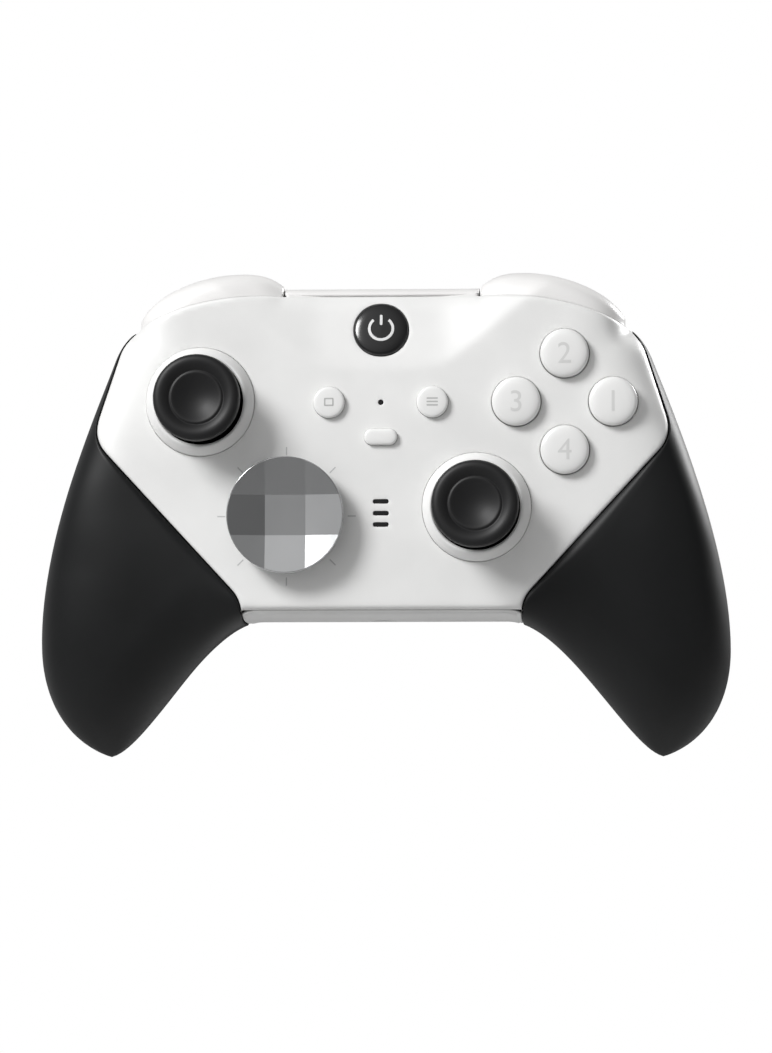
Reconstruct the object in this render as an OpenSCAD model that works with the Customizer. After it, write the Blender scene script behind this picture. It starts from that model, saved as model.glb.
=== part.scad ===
// Gamepad controller with two thumb sticks, held upright: face towards -Y, top edge up.
// The origin is the middle of the flat dock face on the back. Lengths are in millimetres.

/* [Body] */
// Overall width across the two grips
body_w = 154; // [150:1:158]
// Thickness of the middle, from the face to the dock face
body_t = 34; // [33:0.5:36]
// Height of the top edge above the origin
top_z = 52; // [51:0.5:54]
// Rise of the bumpers above the top edge
bumper_rise = 3.4; // [2:0.2:4.4]
// Height of the bottom edge between the grips
bottom_z = -21.6; // [-23:0.2:-21]
// Height of the grip tips
tip_z = -51.5; // [-56:0.5:-48]
// Height at which the grips are widest
widest_z = -28; // [-31:0.5:-25]
// How far the lobes of the back stand behind the dock face
lobe_rise = 9; // [7:0.5:11]
// Extra fullness of the grips behind the lobes
grip_fullness = 2.5; // [0:0.5:4]
// How far the face of the grips bends back at the tips
grip_bend = 13; // [9:0.5:17]
// Depth of the parting line behind which the back begins
parting_y = -20; // [-22:0.5:-18]
// Slope of the guide panel above the crease
guide_slope = 0.25; // [0.15:0.01:0.35]
// Height of the crease below the guide panel
crease_z = 33.4; // [32:0.2:35]
// Wall thickness of the moulded shells
wall = 2; // [1.6:0.1:2.2]
// Visible seam between neighbouring shells
seam = 0.3; // [0.2:0.05:0.45]

/* [Thumb sticks] */
// Place of the left stick on the face, across and up
left_stick = [-39.9, 26.2];
// Place of the right stick on the face, across and up
right_stick = [21.1, 2.7];
// Radius of the stick cap
cap_r = 9.6; // [9:0.1:10.4]
// Height of the cap top above the face
cap_h = 12; // [11.5:0.1:13]
// Outer radius of the collar round a stick
collar_r = 12; // [11.6:0.1:12.6]
// Depth of the stick pivot behind the face
pivot_depth = 10; // [9.8:0.1:10.4]

/* [Direction pad] */
// Place of the direction pad on the face, across and up
dpad = [-20.8, 0.8];
// Radius of the faceted disc
dpad_r = 12.85; // [12:0.1:13.4]
// Gap between the disc and the face at rest
dpad_lift = 2.4; // [2.2:0.1:3]

/* [Buttons] */
// Middle of the four face buttons, across and up
pad_mid = [40.5, 25.9];
// Distance of each face button from their middle
pad_reach = 10.65; // [10.4:0.05:11]
// Radius of a face button
button_r = 5.4; // [5:0.1:5.6]
// Travel of a face button
button_travel = 1.2; // [0.8:0.1:1.3]
// Play round a moving button
button_play = 0.3; // [0.2:0.05:0.4]
// Distance of the view and menu buttons from the middle, and their height
menu_at = [11.4, 25.9];
// Radius of the view and menu buttons
menu_r = 3.5; // [3.1:0.1:4]
// Height of the profile button
profile_z = 18.2; // [17:0.2:19]
// Length and height of the profile button
profile_size = [7.4, 3.6];
// Height of the guide button
guide_z = 42.1; // [41:0.2:43]
// Radius of the guide button
guide_r = 6; // [5.4:0.1:6.4]
// Travel of the small buttons
tap = 0.6; // [0.4:0.1:0.8]

/* [Shoulders] */
// Half length of the top plate between the bumpers
top_half = 21.5; // [20:0.5:24]
// Trigger hinge, depth and height
trigger_pin = [-12.5, 43.4];
// Radius of the trigger hinge pin
pin_r = 1.2; // [1:0.05:1.4]
// Running play on a hinge pin
pin_play = 0.1; // [0.06:0.02:0.16]
// Bumper hinge: distance from the end of the top plate, and height
bumper_hinge = [3.7, 46.4];
// Radius of the trigger hub round its pin
hub_r = 2.9; // [2.6:0.1:3.1]

/* [Back] */
// Spacing and height of the charge contacts
contact_pitch = 4.9; // [4.5:0.1:5.3]
contact_z = 7; // [6:0.2:8]
// Radius of a charge contact
contact_r = 0.78; // [0.6:0.02:0.9]
// Paddle bay: inner edge, bottom and top
bay = [19, -11.5, 1.6];
// Depth of the paddle bay
bay_depth = 0.8; // [0.5:0.1:1]
// Places of the paddle buttons from the middle, across and up
paddle_at = [[27, -0.6], [27, -8]];
// Radius of a paddle button
paddle_r = 1.85; // [1.5:0.05:2.1]
// Lock slider: place across, height at rest, travel
lock_at = [33.3, 12.8];
lock_travel = 6.9; // [5:0.1:7]
// Radius of the headset socket bore
jack_r = 1.8; // [1.78:0.01:1.9]

/* [Inside] */
// Depth of the main board front face
board_y = -15; // [-15.4:0.1:-14.8]
// Thickness of a circuit board
board_t = 1.6; // [1.2:0.1:1.6]
// Thickness of the mid frame
frame_t = 1.5; // [1.2:0.1:1.8]
// Depth of the button board front face
key_y = -26.6; // [-26.8:0.1:-26.2]
// Battery width, height and thickness
battery = [35, 38, 7.5];
// Radius and length of a rumble motor
motor_r = 7; // [6:0.1:7.4]
motor_len = 15; // [12:0.5:16]

/* [Hidden] */
$fn = 48;
half_w = body_w / 2;
face_level = -body_t;
frame_y = board_y + board_t;
frame_back = frame_y + frame_t;
bumper_pin = [top_half + bumper_hinge[0], bumper_hinge[1]];
white = "#E4E4E2";
black = "#222324";
rubber = "#1B1B1C";
metal = "#B9BBBD";
grey = "#8C8E90";
green = "#2F5D43";

// Curves

function mix(a, b, t) = a + (b - a) * t;
function unit01(t) = min(max(t, 0), 1);
function smooth(a, b, v) = let (t = unit01((v - a) / (b - a))) t * t * (3 - 2 * t);
function bezier(p, n) = [for (i = [0:n]) let (t = i / n, s = 1 - t)
    s * s * s * p[0] + 3 * s * s * t * p[1] + 3 * s * t * t * p[2] + t * t * t * p[3]];
function towards(a, b, r) = a + (b - a) * (r / norm(b - a));
// A path of corners [x, z, radius], each corner replaced by a short bend
function rounded(c, n = 4) = [for (i = [0:len(c) - 1]) let (p = [c[i][0], c[i][1]])
    each (i == 0 || i == len(c) - 1 || c[i][2] == 0) ? [p] :
    let (a = towards(p, [c[i - 1][0], c[i - 1][1]], c[i][2]), b = towards(p, [c[i + 1][0], c[i + 1][1]], c[i][2]))
    [for (k = [0:n]) let (t = k / n) (1 - t) * (1 - t) * a + 2 * t * (1 - t) * p + t * t * b]];
function reversed(v) = [for (i = [len(v) - 1:-1:0]) v[i]];
function gap_to_piece(p, a, b) = let (ab = b - a, t = unit01(((p - a) * ab) / (ab * ab))) norm(p - a - ab * t);
function gap_to(p, path) = min([for (i = [0:len(path) - 2]) gap_to_piece(p, path[i], path[i + 1])]);
function run(path) = [for (i = 0, s = 0; i < len(path);
    s = s + (i + 1 < len(path) ? norm(path[i + 1] - path[i]) : 0), i = i + 1) s];
function spaced(path, marks) = let (s = run(path), all = s[len(s) - 1],
    xs = [for (i = [0:len(s) - 1]) [s[i], path[i][0]]], zs = [for (i = [0:len(s) - 1]) [s[i], path[i][1]]])
    [for (f = marks) [lookup(f * all, xs), lookup(f * all, zs)]];
function z_at(x, path) = lookup(x, [for (p = path) p]);

// Outlines of the right half, as seen from the front

shoulder = [half_w - 21.8, top_z - 9.4];
tip = [half_w - 15, tip_z];
outer_edge = concat(
    bezier([shoulder, shoulder + [2, -1.6], shoulder + [3.7, -4], shoulder + [4.8, -7]], 4),
    bezier([shoulder + [4.8, -7], shoulder + [11.6, -23.7], [half_w, widest_z + 20], [half_w, widest_z]], 12),
    bezier([[half_w, widest_z], [half_w, widest_z - 11.5], tip + [9.5, 3.1], tip], 10));
lower_edge = concat(
    bezier([tip, tip + [-7.5, 1.5], [half_w - 36.5, bottom_z - 1], [half_w - 49, bottom_z]], 14), [[0, bottom_z]]);
top_edge = concat([[0, top_z]],
    bezier([[top_half - 0.2, top_z], [top_half + 2.8, top_z + 0.8 * bumper_rise], [top_half + 5.5, top_z + bumper_rise],
        [31, top_z + bumper_rise]], 5),
    bezier([[31, top_z + bumper_rise], [40, top_z + bumper_rise], shoulder + [-3.7, 8.4], shoulder + [-1, 1.7]], 8),
    [shoulder]);

// Seams of the right half, from the top down; neighbours share the points of a seam
neck_x = 31;
plate_bottom = bottom_z + 1.7;
plate_top = concat([[0, top_z - 1.7], [top_half, top_z - 1.7]],
    bezier([[top_half, top_z - 1.7], [35, top_z - 1.2], [47, top_z - 4], shoulder + [-0.2, 0.2]], 10));
back_top = concat([[0, top_z - 7.2], [30.4, top_z - 7.4]],
    bezier([[30.4, top_z - 7.4], [33.5, 43.6], [34.5, 38.6], [47.5, 37.2]], 8), [[54, 36.8]]);
seam_count = 24;
face_seam = spaced(rounded([[shoulder[0], shoulder[1] - 0.2, 0], [shoulder[0] + 2.7, shoulder[1] - 3.8, 1.5],
    [half_w - 12.6, 18.6, 5], [neck_x, bottom_z + 4, 3], [neck_x, plate_bottom, 0]]), [for (i = [0:seam_count]) pow(i / seam_count, 1.05)]);
back_seam = spaced(rounded([[54.2, 36.7, 0], [56, 34.6, 2], [55.2, 19.6, 5], [37.8, 14.8, 2], [37.3, bay[2] + 0.8, 3],
    [30.7, bay[2] - 0.2, 1], [neck_x, bottom_z + 0.2, 0]]), [for (i = [0:seam_count]) i / seam_count]);
// Points of a path moved sideways
function aside(path, d) = let (n = len(path)) [for (i = [0:n - 1]) let (t = path[min(i + 1, n - 1)] - path[max(i - 1, 0)])
    path[i] + d / norm(t) * [-t[1], t[0]]];

// Body surface: the face and back sheets, each drawn down to the parting line near the outline

function keep(q, p) = q >= 1 ? 1 : q <= 0 ? 0 : pow(1 - pow(1 - q, p), 1 / p);
function parting(x, z) = parting_y - 4 * smooth(30, 50, z) + 12 * smooth(0, tip_z, z) * smooth(24, 50, x);
function face_sheet(x, z) = let (c = crease_z + 1.75 * max(0, x - 12), v = z - c)
    face_level + guide_slope * 0.5 * (v + sqrt(v * v + 0.8)) * (1 - smooth(20, 26, x))
    + 1.5 * pow(x / half_w, 2) + grip_bend * pow(min(z, 0) / tip_z, 2) * smooth(22, 50, x);
function back_sheet(x, z) = lobe_rise * smooth(28.5, 40, x) * (1 - 0.15 * smooth(25, 50, z))
    + grip_fullness * smooth(34, 52, x) * smooth(25, -10, z);
function grip_part(x) = smooth(26, 44, x);
function face_y(x0, z) = let (x = abs(x0), p = [x, z], g = grip_part(x), h = smooth(10, -12, z), c = parting(x, z),
    low = keep(gap_to(p, lower_edge) / (3.5 + 10 * g), 3 - 0.8 * g),
    side = keep(gap_to(p, outer_edge) / (14 + 6 * h), 3 - 0.6 * h),
    top = keep(gap_to(p, top_edge) / 6.5, 2.5))
    c + (face_sheet(x, z) - c) * low * side * top;
function back_y(x0, z) = let (x = abs(x0), p = [x, z], g = grip_part(x), c = parting(x, z),
    low = keep(gap_to(p, lower_edge) / (8 + 6 * g), 3 - 0.8 * g),
    side = keep(gap_to(p, outer_edge) / 20, 2.4),
    top = keep(gap_to(p, top_edge) / 9, 1.4))
    c + (back_sheet(x, z) - c) * low * side * top;
function on_face(x, z) = [x, face_y(x, z), z];
function on_back(x, z) = [x, back_y(x, z), z];

// Solids from grids of points

function inward(g) = let (n = len(g), m = len(g[0])) [for (i = [0:n - 1]) [for (j = [0:m - 1]) let (
    a = g[min(i + 1, n - 1)][j] - g[max(i - 1, 0)][j], b = g[i][min(j + 1, m - 1)] - g[i][max(j - 1, 0)],
    c = cross(a, b)) c / norm(c)]];
function flat(g) = [for (r = g) each r];
function sheet_faces(n, m, o, up) = [for (i = [0:n - 2]) for (j = [0:m - 2]) let (a = o + i * m + j)
    each up ? [[a, a + m, a + m + 1], [a, a + m + 1, a + 1]] : [[a, a + m + 1, a + m], [a, a + 1, a + m + 1]]];
// Closed solid between an outer grid and an inner grid of the same size
module between(g, h) {
    n = len(g);
    m = len(g[0]);
    k = n * m;
    rim = concat([for (j = [0:m - 2]) j], [for (i = [0:n - 2]) i * m + m - 1],
        [for (j = [m - 1:-1:1]) (n - 1) * m + j], [for (i = [n - 1:-1:1]) i * m]);
    walls = [for (i = [0:len(rim) - 1]) let (a = rim[i], b = rim[(i + 1) % len(rim)])
        each [[a, b, b + k], [a, b + k, a + k]]];
    polyhedron(concat(flat(g), flat(h)), concat(sheet_faces(n, m, 0, true), sheet_faces(n, m, k, false), walls));
}
module skin(g, t) {
    d = inward(g);
    between(g, [for (i = [0:len(g) - 1]) [for (j = [0:len(g[0]) - 1]) g[i][j] + t * d[i][j]]]);
}
// The same grid on the left side
function behind(g, d) = [for (r = g) [for (p = r) p + [0, d, 0]]];
function left_of(g) = [for (r = g) [for (p = reversed(r)) [-p[0], p[1], p[2]]]];
function handed(g, s) = s > 0 ? g : left_of(g);

// Round bar along Y between two depths
module along_y(p, y0, y1, r) translate([p[0], y1, p[1]]) rotate([90, 0, 0]) cylinder(r = r, h = y1 - y0);
module along_x(x0, x1, p, r) translate([x0, p[0], p[1]]) rotate([0, 90, 0]) cylinder(r = r, h = x1 - x0);
// The same bar on either side of the middle
module across(s, x0, x1, p, r) along_x(s > 0 ? x0 : -x1, s > 0 ? x1 : -x0, p, r);
module box(x, y, z) translate([x[0], y[0], z[0]]) cube([x[1] - x[0], y[1] - y[0], z[1] - z[0]]);
module pill(p, y0, y1, w, h) {
    r = h / 2;
    box([p[0] - w / 2 + r, p[0] + w / 2 - r], [y0, y1], [p[1] - r, p[1] + r]);
    for (s = [-1, 1]) along_y(p + [s * (w / 2 - r), 0], y0, y1, r);
}
// Lathe-turned piece on the Y axis: profile of [radius, height towards the front]
module turned(p, y, profile) translate([p[0], y, p[1]]) rotate([90, 0, 0]) rotate_extrude() polygon(profile);

// Shells

face_marks = [0, 0.11, 0.2, 0.28, 0.36, 0.45, 0.56, 0.67, 0.77, 0.86, 0.94, 1];
function both_ways(m) = concat([for (i = [len(m) - 1:-1:1]) -m[i]], m);
function face_grid() = let (f = reversed(aside(face_seam, -seam / 2)), z0 = f[0][1], z1 = f[seam_count][1])
    [for (q = f) [for (s = both_ways(face_marks)) let (v = (q[1] - z0) / (z1 - z0),
        top = z1 + z_at(abs(s) * shoulder[0], plate_top) - z_at(shoulder[0], plate_top))
        on_face(s * q[0], mix(plate_bottom + seam / 2, top, v))]];
bosses = [[-37.6, -5.5], [37.6, -5.5], [-17, 41.6], [17, 41.6]];
light_bars = [4, 1.4, -1.1];
button_places = [for (a = [90, -90, 0, 180]) pad_mid + pad_reach * [cos(a), sin(a)]];
guide_tilt = atan(guide_slope);
module guide_frame() translate([0, face_y(0, guide_z), guide_z]) rotate([-guide_tilt, 0, 0]) children();

module front_shell() color(white) difference() {
    union() {
        between(face_grid(), behind(face_grid(), wall));
        for (p = bosses) along_y(p, face_y(p[0], p[1]) + 0.6 * wall, frame_y, 3);
    }
    for (p = [left_stick, right_stick]) along_y(p, -45, -25, collar_r + seam / 2);
    along_y(dpad, -45, -25, 7.5);
    for (p = button_places) along_y(p, -45, -25, button_r + button_play);
    for (s = [-1, 1]) along_y([s * menu_at[0], menu_at[1]], -45, -25, menu_r + button_play);
    pill([0, profile_z], -45, -25, profile_size[0] + 2 * button_play, profile_size[1] + 2 * button_play);
    guide_frame() rotate([90, 0, 0]) translate([0, 0, -8]) cylinder(r = guide_r + button_play, h = 16);
    for (z = light_bars) box([-1.75, 1.75], [-45, -25], [z - 0.5, z + 0.5]);
    along_y([0, menu_at[1]], -45, -25, 0.6);
    for (p = bosses) along_y(p, frame_y - 9, frame_y + 1, 1.1);
}

back_lift = [0.12, 0.5, 1.2, 2.4, 4.2, 7];
back_marks = [0, 0.2, 0.38, 0.5, 0.58, 0.66, 0.74, 0.82, 0.9, 1];
function below(x) = z_at(abs(x), reversed(lower_edge));
// Rows run from the face seam, under the bottom edge and up the back
function back_grid() = let (m = reversed(both_ways(back_marks)), h = neck_x - seam / 2,
    b = reversed([for (q = aside(back_seam, -seam / 2)) if (q[1] > bottom_z + 8) q]), n = len(b) - 1, z0 = bottom_z + 7)
    concat([for (k = [0:3]) [for (s = m) let (x = s * h)
        on_face(x, below(x) + mix(plate_bottom - bottom_z - seam / 2, 0, [0, 0.5, 0.85, 1][k]))]],
    [for (d = back_lift) [for (s = m) let (x = s * h) on_back(x, below(x) + d)]],
    [for (q = b) [for (s = m) let (v = (q[1] - z0) / (b[n][1] - z0),
        top = b[n][1] + z_at(abs(s) * b[n][0], back_top) - z_at(b[n][0], back_top)) on_back(s * q[0], mix(z0, top, v))]]);
// The inner side of the back lies straight in front of it, and round the bottom edge towards the middle
function back_inner(g) = [for (i = [0:len(g) - 1]) [for (p = g[i]) i < 9 ?
    let (c = [p[0], parting_y + 3, mix(p[2], bottom_z + 9, min(i / 3, 1))]) p + wall * (c - p) / norm(c - p) : p - [0, wall, 0]]];
rests = [[-24, 34], [24, 34], [-20.8, -14], [20.8, -14]];
lock_low = lock_at[1] - lock_travel;
module back_shell() color(white) difference() {
    union() {
        between(back_grid(), back_inner(back_grid()));
        for (p = rests) along_y(p, frame_back, -0.6 * wall, 2);
        for (s = [-1, 1]) box(s > 0 ? [30, 36.6] : [-36.6, -30], [-4.5, -0.5], [lock_low - 3, lock_at[1] + 2.6]);
    }
    for (k = [-1:1]) along_y([k * contact_pitch, contact_z], -6, 4, contact_r + 0.12);
    for (s = [-1, 1]) pill([s * 11.2, contact_z], -1, 4, 5.9, 1.3);
    pill([0, -6.6], -1, 4, 7, 1.3);
    for (s = [-1, 1]) {
        box(s > 0 ? [bay[0], 30] : [-30, -bay[0]], [-bay_depth, 4], [bay[1], bay[2]]);
        for (p = paddle_at) {
            along_y([s * p[0], p[1]], -6, 4, paddle_r + 0.25);
            box(s > 0 ? [19.6, 22.3] : [-22.3, -19.6], [-6, 4], [p[1] - 2.2, p[1] + 2.2]);
            box(s > 0 ? [22, 24.4] : [-24.4, -22], [-6, 4], [p[1] - 0.4, p[1] + 0.4]);
        }
        for (z = [lock_low, lock_at[1]]) along_y([s * lock_at[0], z], -1.5, 14, 2.5);
        box([s * lock_at[0] - 2.5, s * lock_at[0] + 2.5], [-1.5, 14], [lock_low, lock_at[1]]);
        box([s * lock_at[0] - 1.1, s * lock_at[0] + 1.1], [-7, 14], [lock_low - 1.4, lock_at[1] + 1.4]);
    }
    translate([0, jack_y, bottom_z - 4]) cylinder(r = 3.1, h = 8);
}

grip_across = [0, 0.2, 0.4, 0.58, 0.74, 0.87, 0.96, 1];
// Outline points that face the points of the seam, crowded round the tip
function grip_edge() = let (path = [for (p = concat(outer_edge, [for (i = [1:len(lower_edge) - 1]) lower_edge[i]])) if (p[0] >= neck_x) p],
    whole = concat(path, [[neck_x, below(neck_x)]]), s = run(whole), all = s[len(s) - 1],
    f = run(face_seam), corner = max([for (i = [0:seam_count]) if (face_seam[i][1] > 18) f[i]]) / f[seam_count],
    turn = max([for (i = [0:len(whole) - 1]) if (whole[i][0] > 62 && whole[i][1] > 17) s[i]]) / all)
    spaced(whole, [for (i = [0:seam_count]) let (t = f[i] / f[seam_count])
        t < corner ? mix(0.012, turn, t / corner) : mix(turn, 1, (t - corner) / (1 - corner))]);
function grip_grid() = let (f = aside(face_seam, seam / 2), b = aside(back_seam, seam / 2), e = grip_edge())
    [for (i = [seam_count:-1:0]) concat([for (t = grip_across) let (p = mix(f[i], e[i], t)) on_face(p[0], p[1])],
        [for (k = [len(grip_across) - 2:-1:0]) let (p = mix(b[i], e[i], grip_across[k])) on_back(p[0], p[1])])];
// The inner side keeps straight in from both seams, and follows the surface between them
function grip_inner(g) = let (d = inward(g), m = len(g[0])) [for (i = [0:len(g) - 1]) [for (j = [0:m - 1]) let (
    u = mix([0, j < m / 2 ? 1 : -1, 0], d[i][j], unit01(min(j, m - 1 - j) / 3)),
    v = i < 2 ? [max(u[0], 0), u[1], u[2]] : u) g[i][j] + wall * v / norm(v)]];
module grip(s) color(rubber) between(handed(grip_grid(), s), handed(grip_inner(grip_grid()), s));
module left_grip() grip(-1);
module right_grip() grip(1);

function top_grid() = [for (k = [0:10]) [for (j = [-5:5]) let (x = j / 5 * top_half, z0 = z_at(abs(x), top_edge))
    k < 4 ? on_face(x, z0 - [1.7 - seam / 2, 0.8, 0.25, 0][k])
    : on_back(x, z0 - [0.3, 0.9, 1.8, 3, 4.4, 5.8, 7.2 - seam / 2][k - 4])]];
usb_y = -15.4;
pair_at = [-10.8, -15.8];
function top_inner(g) = [for (r = g) [for (p = r) let (c = [p[0], parting_y + 4, top_z - 6.8]) p + wall * (c - p) / norm(c - p)]];
module top_plate() color(white) difference() {
    between(top_grid(), top_inner(top_grid()));
    translate([0, usb_y, 0]) linear_extrude(70) {
        square([6.4, 3.5], center = true);
        for (s = [-1, 1]) translate([s * 3.2, 0]) circle(r = 1.75);
    }
    translate([pair_at[0], pair_at[1], 40]) cylinder(r = 1.6, h = 30);
}

// Inner frame, boards and supplies

jack_y = -18.4;
pillars = [[8, -12], [-8, 34], [30, 37], [46, 9]];
motor_at = [56, -11];
ears = [31.4, 44.6];
ear_t = 1.7;
module mid_frame() color(black) difference() {
    union() {
        box([-48, 48], [frame_y, frame_back], [-17, 38]);
        box([-28, 28], [frame_y, frame_back], [37, 44.6]);
        for (s = [-1, 1]) {
            box(s > 0 ? [27, 50] : [-50, -27], [frame_y, frame_back], [37, trigger_pin[1] - hub_r - 0.4]);
            box(s > 0 ? [bumper_pin[0] - 1.9, bumper_pin[0] + 2.3] : [-bumper_pin[0] - 2.3, 1.9 - bumper_pin[0]],
                [frame_y, frame_back], [44, bumper_pin[1] + 1.6]);
            for (x = ears) let (a = s > 0 ? x : -x - ear_t) {
                box([a, a + ear_t], [frame_y, frame_back], [38, trigger_pin[1]]);
                along_x(a, a + ear_t, trigger_pin, 2.2);
            }
            translate([s * motor_at[0], motor_at[1], -11]) cylinder(r = motor_r + 1.6, h = 6);
            box(s > 0 ? [46, 49.5] : [-49.5, -46], [frame_y, frame_back], [-11, -5]);
        }
        for (p = pillars) along_y(p, key_y + board_t, frame_y + 0.5, 2);
    }
    for (s = [-1, 1]) {
        translate([s * motor_at[0], motor_at[1], -20]) cylinder(r = motor_r + 0.1, h = 30);
        across(s, 30, 51, trigger_pin, pin_r + 0.02);
        along_y([s * bumper_pin[0], bumper_pin[1]], -20, -5, pin_r + 0.02);
    }
    for (p = bosses) along_y(p, -20, -5, 1.3);
}
module main_board() color(green) difference() {
    union() {
        box([-47, 47], [board_y, frame_y], [-15, 36]);
        box([-8, 8], [board_y, frame_y], [35, 43]);
    }
    for (p = pillars) along_y(p, -30, 0, 2.2);
    for (p = bosses) along_y(p, -30, 0, 3.3);
}
module button_board() color(green) difference() {
    union() {
        box([-31, 31], [key_y, key_y + board_t], [-14, 38]);
        box([30, 51], [key_y, key_y + board_t], [6, 38]);
        box([-9.5, 9.5], [key_y, key_y + board_t], [37, 46]);
    }
    for (p = [left_stick, right_stick]) along_y(p, -40, 0, 13);
    along_y(dpad, -40, 0, 8.8);
    for (p = bosses) along_y(p, -40, 0, 3.3);
}
module battery_pack() color(grey) box([-battery[0] / 2, battery[0] / 2], [frame_back, frame_back + battery[2]], [-13, battery[1] - 13]);
module usb_socket() color(metal) translate([0, usb_y, board_top]) difference() {
    linear_extrude(usb_mouth - board_top) {
        square([5.8, 3.1], center = true);
        for (s = [-1, 1]) translate([s * 2.9, 0]) circle(r = 1.55);
    }
    difference() {
        translate([0, 0, 1]) linear_extrude(20) {
            square([5.8, 2.5], center = true);
            for (s = [-1, 1]) translate([s * 2.9, 0]) circle(r = 1.25);
        }
        box([-3.3, 3.3], [-0.35, 0.35], [0, usb_mouth - board_top - 0.6]);
    }
}
board_top = 43.2;
usb_mouth = 49;
module audio_jack() color(black) difference() {
    union() {
        box([-4, 4], [jack_y - 3.2, board_y], [-18.5, -9]);
        translate([0, jack_y, bottom_z + 0.3]) cylinder(r = 2.9, h = 5);
    }
    translate([0, jack_y, bottom_z - 1]) cylinder(r = jack_r, h = 12);
}
module status_lens() color(black) along_y([0, menu_at[1]], face_y(0, menu_at[1]) + 0.15, key_y - 1, 0.5);
module profile_light_pipes() color(black) for (z = light_bars)
    box([-1.65, 1.65], [face_y(0, z) + 0.15, key_y - 1.5], [z - 0.4, z + 0.4]);
module charge_contacts() color("#C9A65A") for (k = [-1:1]) along_y([k * contact_pitch, contact_z], frame_back + battery[2], -0.15, contact_r);
mat_y = key_y - 1;
module button_mat() color(grey) {
    for (p = button_places) along_y(p, mat_y, key_y, 5);
    for (p = [[1, 1], [1, -1], [-1, 1], [-1, -1]]) along_y(pad_mid + 0.5 * pad_reach * p, mat_y, key_y, 3.6);
}
tap_places = [[-menu_at[0], menu_at[1]], menu_at, [0, profile_z], [0, guide_z]];
module tap_switches() color(metal) for (p = tap_places) box([p[0] - 1.6, p[0] + 1.6], [mat_y, key_y], [p[1] - 1.6, p[1] + 1.6]);
module paddle_switches() color(black) for (s = [-1, 1]) for (p = paddle_at)
    box([s * p[0] - 2.4, s * p[0] + 2.4], [frame_back, -7], [p[1] - 2.4, p[1] + 2.4]);
module case_screws() color(metal) for (p = bosses) {
    along_y(p, frame_y - 7, frame_back + 0.01, 1);
    along_y(p, frame_back, frame_back + 1.6, 2.2);
}

// Thumb sticks

function stick_place(s) = s > 0 ? right_stick : left_stick;
function stick_face(s) = let (p = stick_place(s)) face_y(p[0], p[1]);
module stick_at(s) let (p = stick_place(s)) translate([p[0], stick_face(s) + pivot_depth, p[1]]) rotate([90, 0, 0]) children();
module stick_collar(s) color(white) stick_at(s) rotate_extrude() polygon([[9.6, pivot_depth - 2.2], [collar_r, pivot_depth - 2.2],
    [collar_r, pivot_depth + 0.5], [collar_r - 0.4, pivot_depth + 1.4], [collar_r - 1.3, pivot_depth + 2.2], [10.3, pivot_depth + 2.2],
    [9.6, pivot_depth + 1.2]]);
module left_stick_collar() stick_collar(-1);
module right_stick_collar() stick_collar(1);
// Local frame of a stick: Z towards the front, Y up
module stick_base(s) color(black) {
    low = stick_face(s) + pivot_depth - board_y;
    stick_at(s) difference() {
        union() {
            box([-8.2, 8.2], [-8.2, 8.2], [low, -3.4]);
            for (k = [-1, 1]) box(k > 0 ? [7.1, 8.2] : [-8.2, -7.1], [-1.6, 1.6], [-4, 1.4]);
        }
        translate([-10, 0, 0]) rotate([0, 90, 0]) cylinder(r = 0.85, h = 20);
    }
}
module left_stick_base() stick_base(-1);
module right_stick_base() stick_base(1);
module gimbal_ring(r0, r1, t, reach) {
    difference() {
        translate([0, 0, -t / 2]) cylinder(r = r1, h = t);
        translate([0, 0, -t]) cylinder(r = r0, h = 2 * t);
        rotate([90, 0, 0]) translate([0, 0, -20]) cylinder(r = 0.65, h = 40);
    }
    for (a = [0, 180]) rotate([0, 0, a]) translate([r1 - 0.5, 0, 0]) rotate([0, 90, 0]) cylinder(r = 0.75, h = reach - r1 + 0.5);
}
module stick_ring(s) color(metal) stick_at(s) gimbal_ring(5, 6.6, 2, 8);
module left_stick_ring() stick_ring(-1);
module right_stick_ring() stick_ring(1);
module stick_hub(s) color(grey) stick_at(s) difference() {
    union() {
        translate([0, 0, -2]) cylinder(r = 3.4, h = 4);
        rotate([90, 0, 0]) translate([0, 0, -6]) cylinder(r = 0.55, h = 12);
    }
    translate([0, 0, -5]) cylinder(r = 1.75, h = 10);
}
module left_stick_hub() stick_hub(-1);
module right_stick_hub() stick_hub(1);
// Shaft with the dome that closes the opening below the cap
dome_r = 10.3;
module stick_shaft(s) color(black) stick_at(s) {
    difference() {
        sphere(r = dome_r);
        sphere(r = dome_r - 1);
        translate([0, 0, -20 + 2.6]) cylinder(r = 20, h = 20);
    }
    translate([0, 0, -2.4]) cylinder(r = 1.6, h = 14);
    translate([0, 0, dome_r - 1.2]) cylinder(r = 2.8, h = pivot_depth + cap_h - 5.5 - dome_r + 1.2);
}
module left_stick_shaft() stick_shaft(-1);
module right_stick_shaft() stick_shaft(1);
module stick_cap(s) color(rubber) {
    h = pivot_depth + cap_h;
    stick_at(s) rotate_extrude() polygon(concat([[0, h - 5.5], [4, h - 5.2], [cap_r - 1, h - 4], [cap_r, h - 3.2], [cap_r, h - 1.4],
        [cap_r - 0.5, h - 0.4], [cap_r - 1.3, h], [6.6, h - 0.15]], [for (k = [0:5]) let (r = 5.7 * (1 - k / 5)) [r, h - 1.5 + 0.035 * r * r]]));
}
module left_stick_cap() stick_cap(-1);
module right_stick_cap() stick_cap(1);

// Direction pad

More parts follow.
